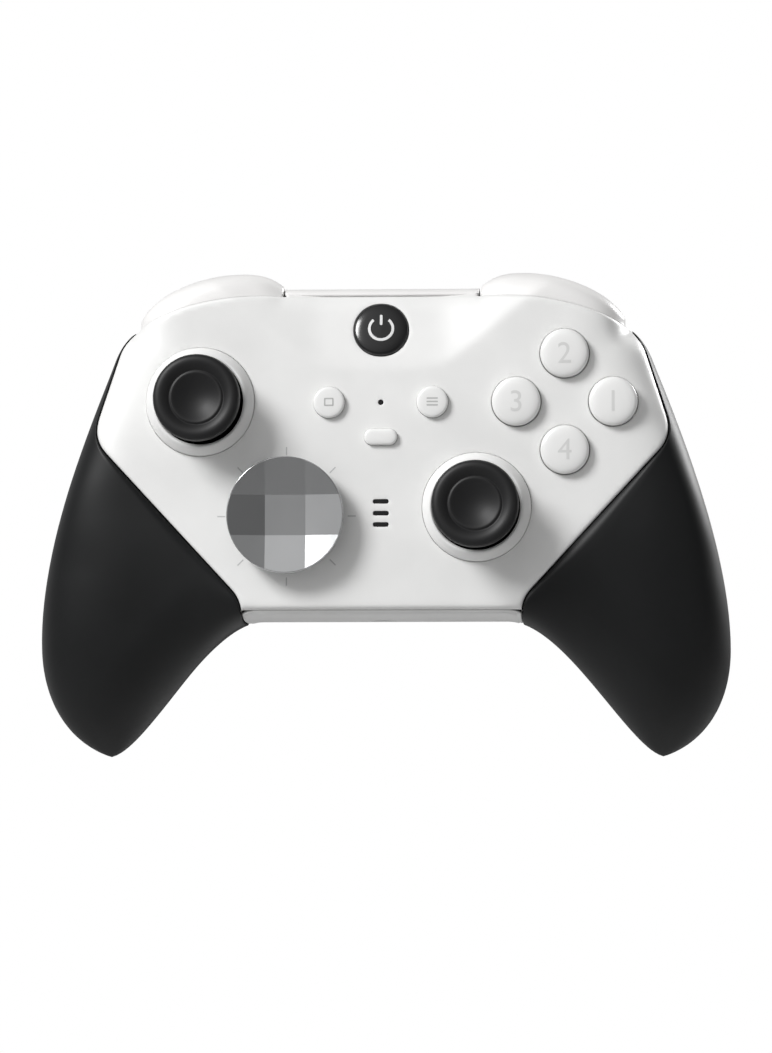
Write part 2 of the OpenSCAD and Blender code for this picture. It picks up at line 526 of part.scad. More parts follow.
dpad_face = face_y(dpad[0], dpad[1]);
dpad_pivot = dpad_face + 7;
module dpad_at() translate([dpad[0], dpad_pivot, dpad[1]]) rotate([90, 0, 0]) children();
module dpad_base() color(black) dpad_at() difference() {
    union() {
        translate([0, 0, dpad_pivot - board_y]) cylinder(r = 7.2, h = board_y - dpad_pivot - 3);
        for (k = [-1, 1]) box(k > 0 ? [5.7, 7] : [-7, -5.7], [-1.5, 1.5], [-4, 1.3]);
    }
    translate([-10, 0, 0]) rotate([0, 90, 0]) cylinder(r = 0.85, h = 20);
}
module dpad_ring() color(metal) dpad_at() gimbal_ring(3.8, 5.2, 1.8, 6.8);
module dpad_disc() color(metal) dpad_at() {
    low = 7 + dpad_lift;
    difference() {
        union() {
            translate([0, 0, low]) cylinder(r1 = dpad_r - 0.8, r2 = dpad_r, h = 0.8);
            translate([0, 0, low + 0.8]) cylinder(r = dpad_r, h = 2.6);
        }
        dpad_hollow(low + 3.4);
    }
    translate([0, 0, -1.2]) cylinder(r = 2.6, h = low + 1.4);
    rotate([90, 0, 0]) translate([0, 0, -4.6]) cylinder(r = 0.55, h = 9.2);
}
// Nine flat facets: a square floor, four sloping sides and four sloping corners
module dpad_hollow(top) {
    a = 4.45;
    b = 14;
    rise = 0.2;
    deep = 1.7;
    g = [-b, -a, a, b];
    function level(i, j) = top - deep + rise * ((i == 0 || i == 3) ? b - a : 0) + rise * ((j == 0 || j == 3) ? b - a : 0);
    pts = concat([for (i = [0:3]) for (j = [0:3]) [g[i], g[j], level(i, j)]], [for (i = [0:3]) for (j = [0:3]) [g[i], g[j], top + 6]]);
    rim = [0, 1, 2, 3, 7, 11, 15, 14, 13, 12, 8, 4];
    polyhedron(pts, concat(
        [for (i = [0:2]) for (j = [0:2]) let (k = 4 * i + j) each [[k, k + 4, k + 5], [k, k + 5, k + 1]]],
        [for (i = [0:2]) for (j = [0:2]) let (k = 16 + 4 * i + j) each [[k, k + 5, k + 4], [k, k + 1, k + 5]]],
        [for (i = [0:11]) let (p = rim[i], q = rim[(i + 1) % 12]) each [[p, q, q + 16], [p, q + 16, p + 16]]]));
}

// Buttons

flange_y = mat_y - button_travel - 0.3;
module face_button(k) color(white) {
    p = button_places[k];
    y = face_y(p[0], p[1]);
    top = flange_y - y;
    turned(p, flange_y, [[0, 0], [button_r + 0.7, 0], [button_r + 0.7, 0.8], [button_r, 0.8], [button_r, top + 1.3],
        [button_r - 0.4, top + 1.8], [button_r - 1.5, top + 2.2], [0, top + 2.4]]);
}
module button_north() face_button(0);
module button_south() face_button(1);
module button_east() face_button(2);
module button_west() face_button(3);
tap_stop = mat_y - tap - 0.3;
module tap_button(p) color(white) {
    top = tap_stop - face_y(p[0], p[1]);
    turned(p, tap_stop, [[0, 0], [menu_r + 0.6, 0], [menu_r + 0.6, 0.8], [menu_r, 0.8], [menu_r, top + 0.5], [menu_r - 0.4, top + 0.8],
        [0, top + 0.9]]);
}
module view_button() tap_button([-menu_at[0], menu_at[1]]);
module menu_button() tap_button(menu_at);
module profile_button() color(white) {
    pill([0, profile_z], face_y(0, profile_z) - 0.7, tap_stop - 0.8, profile_size[0], profile_size[1]);
    pill([0, profile_z], tap_stop - 0.9, tap_stop, profile_size[0] + 1.2, profile_size[1] + 1.2);
}
module guide_button() color(black) guide_frame() rotate([90, 0, 0]) rotate_extrude() polygon([[0, -wall - 1.1], [guide_r + 0.7, -wall - 1.1],
    [guide_r + 0.7, -wall - 0.5], [guide_r, -wall - 0.5], [guide_r, 0.2], [guide_r - 0.5, 0.6], [0, 1.1]]);
module pair_button() color(white) translate([pair_at[0], pair_at[1], 44.6]) {
    cylinder(r = 1.9, h = 1);
    cylinder(r = 1.4, h = top_z - 44.6 - 1.4);
}

// Shoulder buttons

bumper_marks = [for (t = [0, 0.14, 0.33, 0.54, 0.78]) mix(top_half + 0.7, 32.2, t)];
bumper_ends = [32.2, 33.6, 36.5, 39.5, 42.5, 45.5, 48.2, 50.6, 52.4, 53.8];
// The skirt steps in behind the face, further at both ends where the face bends away
function bumper_step(x) = wall + 0.35 + 0.9 * smooth(45, 49, x) + 0.4 * smooth(top_half + 4.5, top_half + 1.5, x);
function bumper_back(x, z0) = mix(top_z - 6, z0 - 3, smooth(32.2, 33.6, x));
function bumper_point(x, k) = let (z0 = z_at(x, top_edge), low = z_at(x, plate_top), t = [-2.2, -0.6, 0.6, 1.8][min(k, 3)])
    k < 4 ? let (z = min(low + t, z0 - 0.35)) on_face(x, z) + [0, bumper_step(x) * (1 - smooth(low, z0 + 0.4, z)), 0]
    : k == 4 ? [x, parting(x, z0), z0] : let (z = mix(z0, bumper_back(x, z0), [0.08, 0.25, 0.5, 0.75, 1][k - 5])) on_back(x, z);
function bumper_grid() = [for (k = [0:9]) [for (x = concat(bumper_marks, bumper_ends)) bumper_point(x, k)]];
module bumper(s) color(white) {
    difference() {
        union() {
            skin(handed(bumper_grid(), s), 1.7);
            box([s * bumper_pin[0] - 2.4, s * bumper_pin[0] + 2.4], [-20.4, -14], [bumper_pin[1] - 2.6, top_z - 0.6]);
        }
        along_y([s * bumper_pin[0], bumper_pin[1]], -30, 0, pin_r + pin_play);
    }
}
module left_bumper() bumper(-1);
module right_bumper() bumper(1);
module bumper_pins() color(metal) for (s = [-1, 1]) along_y([s * bumper_pin[0], bumper_pin[1]], -20.4, frame_back, pin_r);

// Trigger surface in turns about its hinge: round where it enters the shell, fuller above
trigger_marks = [33.4, 36.4, 38.8, 40.4, 43, 46, 48.6, 50.8, 52.4, 53.4];
trigger_low = -40;
hub_from = 36.2;
function trigger_lip(x) = let (z = z_at(x, back_top)) norm([back_y(x, z) - wall, z] - trigger_pin) - 0.7;
function trigger_top(x) = z_at(x, [[33, 46.5], [36.2, 48.4], [39.4, 51.6], [41, 51.7], [45, 50.4], [49.5, 47.4], [52.4, 44.6], [53.4, 43.9]]);
function trigger_r(x, a) = let (flank = mix(0.45, 1, smooth(32.6, 39.6, x)),
    r = trigger_lip(max(x, 40)) * flank + 3.2 * smooth(3, 15, a) * smooth(33, 39.5, x) * smooth(54, 50, x))
    a > 4 ? min(r, (trigger_top(x) - trigger_pin[1]) / sin(a)) : r;
function trigger_ends(x) = [trigger_low, mix(44, 6, smooth(47, 53.4, x))];
trigger_turns = [0, 0.18, 0.34, 0.44, 0.52, 0.6, 0.68, 0.76, 0.84, 0.92, 1];
function trigger_point(x, v, r) = let (e = trigger_ends(x), a = mix(e[0], e[1], v), d = r > 0 ? r : trigger_r(x, a))
    [x, trigger_pin[0] + d * cos(a), trigger_pin[1] + d * sin(a)];
module trigger(s) color(white) difference() {
    union() {
        between(handed([for (v = reversed(trigger_turns)) [for (x = trigger_marks) trigger_point(x, v, 0)]], s),
            handed([for (v = reversed(trigger_turns)) [for (x = trigger_marks) trigger_point(x, v, 2.6)]], s));
        across(s, hub_from, ears[1] - 0.5, trigger_pin, hub_r);
    }
    across(s, 30, 60, trigger_pin, pin_r + pin_play);
    across(s, ears[0] - 1.4, hub_from - 0.1, trigger_pin, hub_r + 0.5);
    across(s, ears[1] - 0.4, 60, trigger_pin, hub_r + 0.5);
}
module left_trigger() trigger(-1);
module right_trigger() trigger(1);
module trigger_axle(s) color(metal) across(s, ears[0] - 0.2, ears[1] + ear_t + 0.2, trigger_pin, pin_r);
module left_trigger_pin() trigger_axle(-1);
module right_trigger_pin() trigger_axle(1);
// Coil on the hinge pin, a round wire wound three turns
module trigger_spring(s) color(metal) {
    turns = 3;
    n = 30;
    m = 6;
    pts = [for (i = [0:n]) let (a = 360 * turns * i / n, x = 33.5 + 2.2 * i / n) for (j = [0:m - 1]) let (b = 360 * j / m, r = 1.9 + 0.3 * cos(b))
        [s * (x + 0.3 * sin(b)), trigger_pin[0] + r * cos(a), trigger_pin[1] + r * sin(a)]];
    faces = concat([[for (j = [0:m - 1]) s > 0 ? m - 1 - j : j]], [[for (j = [0:m - 1]) n * m + (s > 0 ? j : m - 1 - j)]],
        [for (i = [0:n - 1]) for (j = [0:m - 1]) let (a = i * m + j, b = i * m + (j + 1) % m)
            each s > 0 ? [[a, b, b + m], [a, b + m, a + m]] : [[a, b + m, b], [a, a + m, b + m]]]);
    polyhedron(pts, faces);
}
module left_trigger_spring() trigger_spring(-1);
module right_trigger_spring() trigger_spring(1);

// Back controls

module trigger_lock(s) color(black) {
    p = [s * lock_at[0], lock_at[1]];
    along_y(p, -1.2, back_y(lock_at[0], lock_at[1]) + 0.7, 2);
    box([p[0] - 0.9, p[0] + 0.9], [-5.6, -1], [p[1] - 1.2, p[1] + 1.2]);
    box([p[0] - 2.4, p[0] + 2.4], [-5.8, -4.8], [p[1] - 1.9, p[1] + 1.9]);
}
module left_trigger_lock() trigger_lock(-1);
module right_trigger_lock() trigger_lock(1);
module paddle_button(s, k) color(white) {
    p = [s * paddle_at[k][0], paddle_at[k][1]];
    along_y(p, -5.7, 0.2, paddle_r);
    along_y(p, -3.4, -2.4, paddle_r + 0.6);
}
module paddle_button_1() paddle_button(1, 0);
module paddle_button_2() paddle_button(-1, 0);
module paddle_button_3() paddle_button(1, 1);
module paddle_button_4() paddle_button(-1, 1);

// Rumble drives

motor_top = 0;
module rumble_motors() color(metal) for (s = [-1, 1]) translate([s * motor_at[0], motor_at[1], motor_top]) {
    translate([0, 0, -motor_len]) cylinder(r = motor_r, h = motor_len);
    translate([0, 0, -motor_len - 7.5]) cylinder(r = 1, h = 8);
}
module rumble_weight(s) color(metal) translate([s * motor_at[0], motor_at[1], motor_top - motor_len - 6.8]) difference() {
    cylinder(r = 8, h = 6);
    translate([0, 0, -1]) cylinder(r = 1.1, h = 8);
    box([-9, 9], [2.2, 9], [-1, 7]);
}
module left_rumble_weight() rumble_weight(-1);
module right_rumble_weight() rumble_weight(1);

front_shell();
back_shell();
left_grip();
right_grip();
top_plate();
mid_frame();
main_board();
button_board();
battery_pack();
usb_socket();
audio_jack();
status_lens();
profile_light_pipes();
charge_contacts();
button_mat();
tap_switches();
paddle_switches();
case_screws();
left_stick_collar();
right_stick_collar();
left_stick_base();
right_stick_base();
left_stick_ring();
right_stick_ring();
left_stick_hub();
right_stick_hub();
left_stick_shaft();
right_stick_shaft();
left_stick_cap();
right_stick_cap();
dpad_base();
dpad_ring();
dpad_disc();
button_north();
button_south();
button_east();
button_west();
view_button();
menu_button();
profile_button();
guide_button();
pair_button();
left_bumper();
right_bumper();
bumper_pins();
left_trigger();
right_trigger();
left_trigger_pin();
right_trigger_pin();
left_trigger_spring();
right_trigger_spring();
left_trigger_lock();
right_trigger_lock();
paddle_button_1();
paddle_button_2();
paddle_button_3();
paddle_button_4();
rumble_motors();
left_rumble_weight();
right_rumble_weight();
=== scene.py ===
"""Gamepad controller: moulded skins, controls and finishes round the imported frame.

Shapes are worked out in millimetres and turned to metres when a mesh is made.
The face looks along -Y, the back along +Y, and the bumpers are at +Z.
"""
import math

import bpy
import mathutils
import numpy as np
from mathutils.geometry import delaunay_2d_cdt
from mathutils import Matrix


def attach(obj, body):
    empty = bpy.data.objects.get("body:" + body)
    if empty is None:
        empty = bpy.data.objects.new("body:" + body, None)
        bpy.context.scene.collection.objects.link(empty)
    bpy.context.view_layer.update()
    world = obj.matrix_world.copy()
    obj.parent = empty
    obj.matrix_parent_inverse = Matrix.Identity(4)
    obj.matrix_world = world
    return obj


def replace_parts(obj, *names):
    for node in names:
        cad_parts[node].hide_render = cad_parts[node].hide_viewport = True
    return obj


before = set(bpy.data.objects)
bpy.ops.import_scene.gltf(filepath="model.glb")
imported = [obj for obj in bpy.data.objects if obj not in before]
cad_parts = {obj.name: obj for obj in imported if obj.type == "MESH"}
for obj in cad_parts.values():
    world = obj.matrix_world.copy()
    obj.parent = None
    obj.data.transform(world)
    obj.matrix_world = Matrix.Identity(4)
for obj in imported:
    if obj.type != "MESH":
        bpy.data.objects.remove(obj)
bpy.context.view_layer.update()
MM = 0.001

# Sizes of the body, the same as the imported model's
HALF_W, TOP_Z, RISE = 77.0, 52.0, 3.4
BOTTOM_Z, TIP_Z, WIDEST_Z = -21.6, -51.5, -28.0
LOBE_RISE, GRIP_FULLNESS, GRIP_BEND = 9.0, 2.5, 13.0
PARTING_Y, FACE_LEVEL = -20.0, -34.0
GUIDE_SLOPE, CREASE_Z = 0.25, 33.4
SEAM, WALL, NECK_X, TOP_HALF = 0.3, 2.0, 31.0, 21.5
PLATE_DROP, BACK_DROP, BAY_TOP = 1.7, 7.2, 1.6
LEFT_STICK, RIGHT_STICK = (-39.9, 26.2), (21.1, 2.7)
DPAD, DPAD_R, DPAD_LIFT = (-20.8, 0.8), 12.85, 2.4
PAD_MID, PAD_REACH, BUTTON_R = (40.5, 25.9), 10.65, 5.4
MENU_AT, MENU_R = (11.4, 25.9), 3.5
PROFILE_Z, GUIDE_Z, GUIDE_R = 18.2, 42.1, 6.0
PIVOT_DEPTH, CAP_H, COLLAR_R = 10.0, 12.0, 12.0
TRIGGER_PIN = np.array([-12.5, 43.4])
LOCK_AT, LOCK_TRAVEL = (33.3, 12.8), 6.9
PADDLES = ((27.0, -0.6), (27.0, -8.0))
BAY_AT, BAY_HALF = (25.3, -4.95), (6.2, 6.5)
CONTACT_STEP, CONTACT_Z = 4.9, 7.0
USB_Y, USB_HALF, USB_CORNER, JACK_Y = -15.4, (4.95, 1.75), 1.74, -18.4
PAIR_AT, PAIR_FOOT = (-10.8, -15.8), 44.6
LIGHT_BARS = (4.0, 1.4, -1.1)
# Depths where the top plate turns over and where the inner walls stand, thinner walls, print and studs
TURN_Y, WALL_Y = -24.0, -19.4
THIN_WALL, GRIP_WALL, INK = 1.5, 1.6, 0.03
STUD_MM, STUD_ANGLE, STUD_TALL = 1.3, 0.62, 0.26


# Curves

def smooth(a, b, v):
    """Eases from 0 at a to 1 at b, along 3t^2 - 2t^3."""
    t = np.clip((v - a) / (b - a), 0.0, 1.0)
    return t * t * (3 - 2 * t)


def bezier(points, n):
    """Cubic curve through the first and last of four control points."""
    p = np.array(points, float)
    t = np.linspace(0, 1, n + 1)[:, None]
    s = 1 - t
    return s ** 3 * p[0] + 3 * s * s * t * p[1] + 3 * s * t * t * p[2] + t ** 3 * p[3]


def rounded(corners):
    """Path through corners (x, z, radius), each corner a quadratic bend between its two tangent points."""
    c = np.array(corners, float)
    path = [c[:1, :2]]
    t = np.linspace(0, 1, 9)[:, None]
    for before, here, after in zip(c[:-2], c[1:-1], c[2:]):
        p, r = here[:2], here[2]
        a = p + (before[:2] - p) * (r / np.linalg.norm(before[:2] - p))
        b = p + (after[:2] - p) * (r / np.linalg.norm(after[:2] - p))
        path.append((1 - t) ** 2 * a + 2 * t * (1 - t) * p + t * t * b)
    path.append(c[-1:, :2])
    return np.vstack(path)


def lengths(path, axis=0):
    """Distance to each point of a path, or of a grid of points along one of its axes."""
    return np.cumsum(np.linalg.norm(np.diff(path, axis=axis, prepend=path.take([0], axis)), axis=-1), axis)


def spaced(path, marks):
    """Points of a path at the given shares of its length."""
    s = lengths(path)
    return np.stack([np.interp(np.asarray(marks) * s[-1], s, path[:, k]) for k in range(path.shape[1])], 1)


def joined(*columns):
    """Points from their coordinates, with single numbers spread over the rest."""
    return np.stack(np.broadcast_arrays(*columns), -1)


def unit(v):
    """Vectors brought to length one."""
    return v / (np.linalg.norm(v, axis=-1, keepdims=True) + 1e-12)


def aside(path, d):
    """A path moved sideways by d, to the left of its direction."""
    t = unit(np.gradient(path, axis=0))
    return path + d * joined(-t[:, 1], t[:, 0])


def soften(points):
    """Corners of a path cut twice, at a quarter and three quarters of every side."""
    p = np.array(points, float)
    for _ in range(2):
        a, b = p[:-1], p[1:]
        cut = np.stack([0.75 * a + 0.25 * b, 0.25 * a + 0.75 * b], 1).reshape(-1, 2)
        p = np.vstack([p[:1], cut, p[-1:]])
    return p


def gap_to(x, z, path):
    """Distance of points to the nearest segment of a path."""
    best = np.full(np.shape(x), 1e9)
    for a, b in zip(path[:-1], path[1:]):
        d = b - a
        t = np.clip(((x - a[0]) * d[0] + (z - a[1]) * d[1]) / (d @ d + 1e-12), 0, 1)
        best = np.minimum(best, np.hypot(x - a[0] - t * d[0], z - a[1] - t * d[1]))
    return best


def height_at(x, path):
    """Height of a path that runs outwards, at distance x from the middle."""
    return np.interp(x, path[:, 0], path[:, 1])


# Outlines and seams of the right half
shoulder = np.array([HALF_W - 21.8, TOP_Z - 9.4])
tip = np.array([HALF_W - 15, TIP_Z])
widest = np.array([HALF_W, WIDEST_Z])
elbow = shoulder + [4.8, -7]
outer_edge = np.vstack([
    bezier([shoulder, shoulder + [2, -1.6], shoulder + [3.7, -4], elbow], 10),
    bezier([elbow, shoulder + [11.6, -23.7], [HALF_W, WIDEST_Z + 20], widest], 24)[1:],
    bezier([widest, [HALF_W, WIDEST_Z - 11.5], tip + [9.5, 3.1], tip], 20)[1:]])
lower_edge = np.vstack([
    bezier([tip, tip + [-7.5, 1.5], [HALF_W - 36.5, BOTTOM_Z - 1], [HALF_W - 49, BOTTOM_Z]], 28),
    [[0, BOTTOM_Z]]])
crown = np.array([31, TOP_Z + RISE])
top_edge = np.vstack([
    [[0, TOP_Z]],
    bezier([[TOP_HALF - 0.2, TOP_Z], [TOP_HALF + 2.8, TOP_Z + 0.8 * RISE],
            [TOP_HALF + 5.5, TOP_Z + RISE], crown], 12),
    bezier([crown, [40, TOP_Z + RISE], shoulder + [-3.7, 8.4], shoulder + [-1, 1.7]], 18)[1:],
    [shoulder]])
plate_bottom = BOTTOM_Z + 1.7
plate_top = np.vstack([
    [[0, TOP_Z - PLATE_DROP]],
    bezier([[TOP_HALF, TOP_Z - PLATE_DROP], [35, TOP_Z - 1.2], [47, TOP_Z - 4],
            shoulder + [-0.2, 0.2]], 24)])
back_top = np.vstack([
    [[0, TOP_Z - BACK_DROP]],
    bezier([[30.4, TOP_Z - 7.4], [33.5, 43.6], [34.5, 38.6], [47.5, 37.2]], 20),
    [[54, 36.8]]])
SEAM_STEPS = np.linspace(0, 1, 181)
face_seam = spaced(rounded([
    [shoulder[0], shoulder[1] - 0.2, 0], [shoulder[0] + 2.7, shoulder[1] - 3.8, 1.5],
    [HALF_W - 12.6, 18.6, 5], [NECK_X, BOTTOM_Z + 4, 3], [NECK_X, plate_bottom, 0]]), SEAM_STEPS)
back_seam = spaced(rounded([
    [54.2, 36.7, 0], [56, 34.6, 2], [55.2, 19.6, 5], [37.8, 14.8, 2], [37.3, BAY_TOP + 0.8, 3],
    [30.7, BAY_TOP - 0.2, 1], [NECK_X, BOTTOM_Z + 0.2, 0]]), SEAM_STEPS)


# Body surface: the face and back sheets, each drawn down to the parting line near the outline

def keep(q, p):
    """Share of full depth at q of the rounding width: a superellipse quarter of power p."""
    q = np.clip(q, 0, 1)
    return (1 - (1 - q) ** p) ** (1 / p)


def parting(x, z):
    """Depth of the parting line, pulled forward at the top and back in the grips."""
    return PARTING_Y - 4 * smooth(30, 50, z) + 12 * smooth(0, TIP_Z, z) * smooth(24, 50, x)


def face_y(x0, z):
    """Depth of the face: flat, with the guide panel's slope above its crease and the grips bent back."""
    x = np.abs(x0)
    u = x - 14
    v = z - CREASE_Z - 0.42 * (u + np.sqrt(u * u + 9))
    slope = GUIDE_SLOPE * 0.5 * (v + np.sqrt(v * v + 0.8))
    bend = GRIP_BEND * (np.minimum(z, 0) / TIP_Z) ** 2 * smooth(22, 50, x)
    sheet = FACE_LEVEL + slope + 1.5 * (x / HALF_W) ** 2 + bend
    g, h, c = smooth(26, 44, x), smooth(10, -12, z), parting(x, z)
    low = keep(gap_to(x, z, lower_edge) / (3.5 + 10 * g), 3 - 0.8 * g)
    side = keep(gap_to(x, z, outer_edge) / (14 + 6 * h), 3 - 0.6 * h)
    top = keep(gap_to(x, z, top_edge) / 6.5, 2.5)
    return c + (sheet - c) * low * side * top


def back_y(x0, z):
    """Depth of the back: the dock face at 0, two lobes and the fuller grips."""
    x = np.abs(x0)
    sheet = LOBE_RISE * smooth(28.5, 40, x) * (1 - 0.15 * smooth(25, 50, z))
    sheet = sheet + GRIP_FULLNESS * smooth(34, 52, x) * smooth(25, -10, z)
    g, c = smooth(26, 44, x), parting(x, z)
    low = keep(gap_to(x, z, lower_edge) / (8 + 6 * g), 3 - 0.8 * g)
    side = keep(gap_to(x, z, outer_edge) / 20, 2.4)
    top = keep(gap_to(x, z, top_edge) / 9, 1.4)
    return c + (sheet - c) * low * side * top


# Meshes

def make(name, points, faces, material, body="housing", shade=True):
    """A piece from points in millimetres and faces, riding on a body. NODE_skin replaces the CAD's NODE."""
    me = bpy.data.meshes.new(name)
    me.from_pydata((np.asarray(points) * MM).tolist(), [], [list(map(int, f)) for f in faces])
    me.validate()
    me.update()
    me.polygons.foreach_set("use_smooth", np.full(len(me.polygons), shade))
    o = bpy.data.objects.new(name, me)
    bpy.context.scene.collection.objects.link(o)
    me.materials.append(material)
    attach(o, body)
    if name.endswith("_skin"):
        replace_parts(o, name[:-len("_skin")])
    return o


def grid_faces(n, m, wrap=False):
    """Quads of an n by m grid of points, joined at its long ends where it wraps."""
    i, j = np.meshgrid(np.arange(n - 1), np.arange(m if wrap else m - 1), indexing="ij")
    k = (j + 1) % m
    return joined(i * m + j, i * m + k, (i + 1) * m + k, (i + 1) * m + j).reshape(-1, 4)


def slab(outer, inner, faces):
    """Closed wall between two copies of a sheet: the sheet, its reversed inner side and its open edges."""
    points = np.vstack([np.reshape(outer, (-1, 3)), np.reshape(inner, (-1, 3))])
    n = len(points) // 2
    e = joined(faces, np.roll(faces, -1, 1)).reshape(-1, 2)
    key = np.sort(e, 1)
    _, index, count = np.unique(key, axis=0, return_index=True, return_counts=True)
    rim = e[index[count == 1]]
    walls = joined(rim[:, 1], rim[:, 0], rim[:, 0] + n, rim[:, 1] + n)
    return points, turn_out(points, [*faces, *(faces[:, ::-1] + n), *walls])


def fan(middle, first, n):
    """Triangles from a middle point to a closed row of n points."""
    k = np.arange(n)
    return joined(middle, k + first, (k + 1) % n + first)


def mirrored(points, faces):
    """The same shape on the left side, with its faces turned back outwards."""
    return points * [-1, 1, 1], [f[::-1] for f in faces]


def turn_out(points, faces):
    """Faces turned so that a closed shape's volume, summed over its corner triangles, is positive."""
    volume = 0.0
    for n in {len(f) for f in faces}:
        f = np.array([g for g in faces if len(g) == n], int).reshape(-1, n)
        for k in range(1, n - 1):
            volume += np.sum(points[f[:, 0]] * np.cross(points[f[:, k]], points[f[:, k + 1]]))
    return faces if volume > 0 else [f[::-1] for f in faces]


def both_sides(name, points, faces, material, moving="", shade=True):
    """A piece and its mirror image, on the housing or on each side's own moving part."""
    for side, p, f in (("right", points, faces), ("left", *mirrored(points, faces))):
        make(f"{side}_{name}", p, f, material, f"{side}_{moving}" if moving else "housing", shade)


def outline_ring(c, a, b, r, n):
    """Rounded rectangle of half sizes a and b and corner radius r round c, in even steps of its length."""
    q = np.linspace(0, math.pi / 2, 17)
    arc = r * joined(np.cos(q), np.sin(q))
    turns = [(1, 1, arc), (-1, 1, arc[::-1]), (-1, -1, arc), (1, -1, arc[::-1])]
    p = np.vstack([(arc_ + [a - r, b - r]) * [sx, sz] for sx, sz, arc_ in turns])
    p = np.vstack([p, p[:1]])
    return spaced(p, np.arange(n) / n) + c


def inside_gap(x, z, c, a, b, r):
    """Signed distance to a rounded rectangle, negative inside."""
    qx, qz = np.abs(x - c[0]) - (a - r), np.abs(z - c[1]) - (b - r)
    return np.hypot(np.maximum(qx, 0), np.maximum(qz, 0)) + np.minimum(np.maximum(qx, qz), 0) - r


def edge_drop(s, r):
    """Depth lost at distance s from an edge rounded with radius r: a quarter circle."""
    t = np.clip(r - s, 0, r)
    return r - np.sqrt(np.maximum(r * r - t * t, 0))


def pierced(loop, features, step, edge_r=0.5, cuts=(), lip=0.0):
    """Triangulated sheet inside a closed loop, with rings of points round its edge and round each feature.

    A feature is (middle, half width, half height, corner radius, edge radius, depth): a recess of that
    depth, or a hole where the depth is None. Cuts are closed loops cut out sharp. A lip is a low step
    along the edge. Returns the points in the plane, the triangles and the depth at each point."""
    rings, links, count = [], [], 0

    def ring(p):
        nonlocal count
        k = np.arange(len(p))
        links.append(joined(k, (k + 1) % len(p)) + count)
        rings.append(p)
        count += len(p)

    closed = np.vstack([loop, loop[:1]])
    for s in (0, 0.12 * edge_r, 0.45 * edge_r, edge_r, *((lip - 0.1, lip + 0.1) if lip else ())):
        ring(aside(closed, s)[:-1])
    for c, a, b, r, e, depth in features:
        steps = [0, 0.12 * e, 0.45 * e, e]
        if depth is not None:
            steps = [-0.06] + steps
        for s in steps:
            n = int(max(28, (4 * (a + b) - 1.7 * r) / max(0.35, step * 0.45)))
            ring(outline_ring(c, a + s, b + s, max(r + s, 0.02), n))
    for cut in cuts:
        ring(np.asarray(cut))
    lo, hi = loop.min(0), loop.max(0)
    gx, gz = np.meshgrid(np.arange(lo[0], hi[0], step), np.arange(lo[1], hi[1], step))
    gx = gx + np.where(np.arange(len(gx)) % 2, step / 2, 0)[:, None]
    gx, gz = gx.ravel(), gz.ravel()
    far = gap_to(gx, gz, closed) > max(edge_r, lip + 0.1) + 0.35 * step
    far &= contains(gx, gz, loop)
    for c, a, b, r, e, depth in features:
        s = inside_gap(gx, gz, c, a, b, r)
        far &= (s > e + 0.35 * step) | ((s < -0.35 * step - 0.06) if depth is not None else False)
    points = np.vstack([*rings, joined(gx[far], gz[far])])
    flat, _, tris, _, _, _ = delaunay_2d_cdt(points.tolist(), np.vstack(links).tolist(), [], 0, 1e-5)
    flat = np.array([v[:] for v in flat])
    tris = np.array([t for t in tris if len(t) == 3])
    mid = flat[tris].mean(1)
    good = contains(*mid.T, loop)
    gap = gap_to(*flat.T, closed)
    drop = edge_drop(gap, edge_r) + (0.22 * smooth(lip + 0.1, lip - 0.1, gap) if lip else 0)
    for c, a, b, r, e, depth in features:
        s = inside_gap(*flat.T, c, a, b, r)
        drop = drop + np.where(s > -0.01, edge_drop(s, e), 0 if depth is None else depth)
        if depth is None:
            good &= inside_gap(*mid.T, c, a, b, r) > 0
    for cut in cuts:
        good &= ~contains(*mid.T, np.asarray(cut))
    return flat, tris[good], drop


def round_hole(c, r, edge):
    """Feature of a pierced sheet: a round hole with a soft edge."""
    return c, r, r, r, edge, None


def contains(x, z, loop):
    """True for points inside a closed loop: an odd number of its sides lies to their right."""
    odd = np.zeros(np.shape(x), bool)
    for a, b in zip(loop, np.roll(loop, -1, 0)):
        if a[1] != b[1]:
            odd ^= ((a[1] > z) != (b[1] > z)) & (x < (b[0] - a[0]) * (z - a[1]) / (b[1] - a[1]) + a[0])
    return odd


def whole_loop(half):
    """Closed anticlockwise loop from a right half path, run from the middle bottom to the middle top."""
    left = (half * [-1, 1])[::-1]
    return np.vstack([half, left[left[:, 0] < -1e-6]])


def stack(c, y, a, b, r, levels, out, n):
    """Rings of a rounded rectangle carried along Y: each level grows the outline and stands at a height.

    Corner centres stay and the corner radius grows. A fan closes the first and the last ring."""
    q = (np.arange(n) + 0.5) * 2 * math.pi / n
    grow, h = np.array(levels, float).T[:, :, None]
    x = c[0] + (a - r) * np.sign(np.cos(q)) + (r + grow) * np.cos(q)
    z = c[1] + (b - r) * np.sign(np.sin(q)) + (r + grow) * np.sin(q)
    m = len(levels)
    ends = [[c[0], y + out * levels[k][1], c[1]] for k in (0, -1)]
    points = np.vstack([joined(x, y + out * h, z).reshape(-1, 3), ends])
    first, last = fan(m * n, 0, n)[:, [0, 2, 1]], fan(m * n + 1, (m - 1) * n, n)
    return points, turn_out(points, [*grid_faces(m, n, True), *first, *last])


def lathe(c, y, profile, out, n=96):
    """Profile of (radius, height) turned about an axis along Y, its corners softened first."""
    return stack(c, y, 0, 0, 0, [(max(r, 0.01), h) for r, h in soften(profile)], out, n)


def turned_rows(c, y, profile, q, out):
    """Points at the angles q round an axis along Y, one row for each (radius, height) of a profile."""
    row = lambda r, h: joined(c[0] + r * np.cos(q), y + out * h, c[1] + r * np.sin(q))
    return np.concatenate([row(r, h) for r, h in profile])


def full_turn(n):
    """Angles of n even steps round a circle."""
    return np.linspace(0, 2 * math.pi, n, endpoint=False)


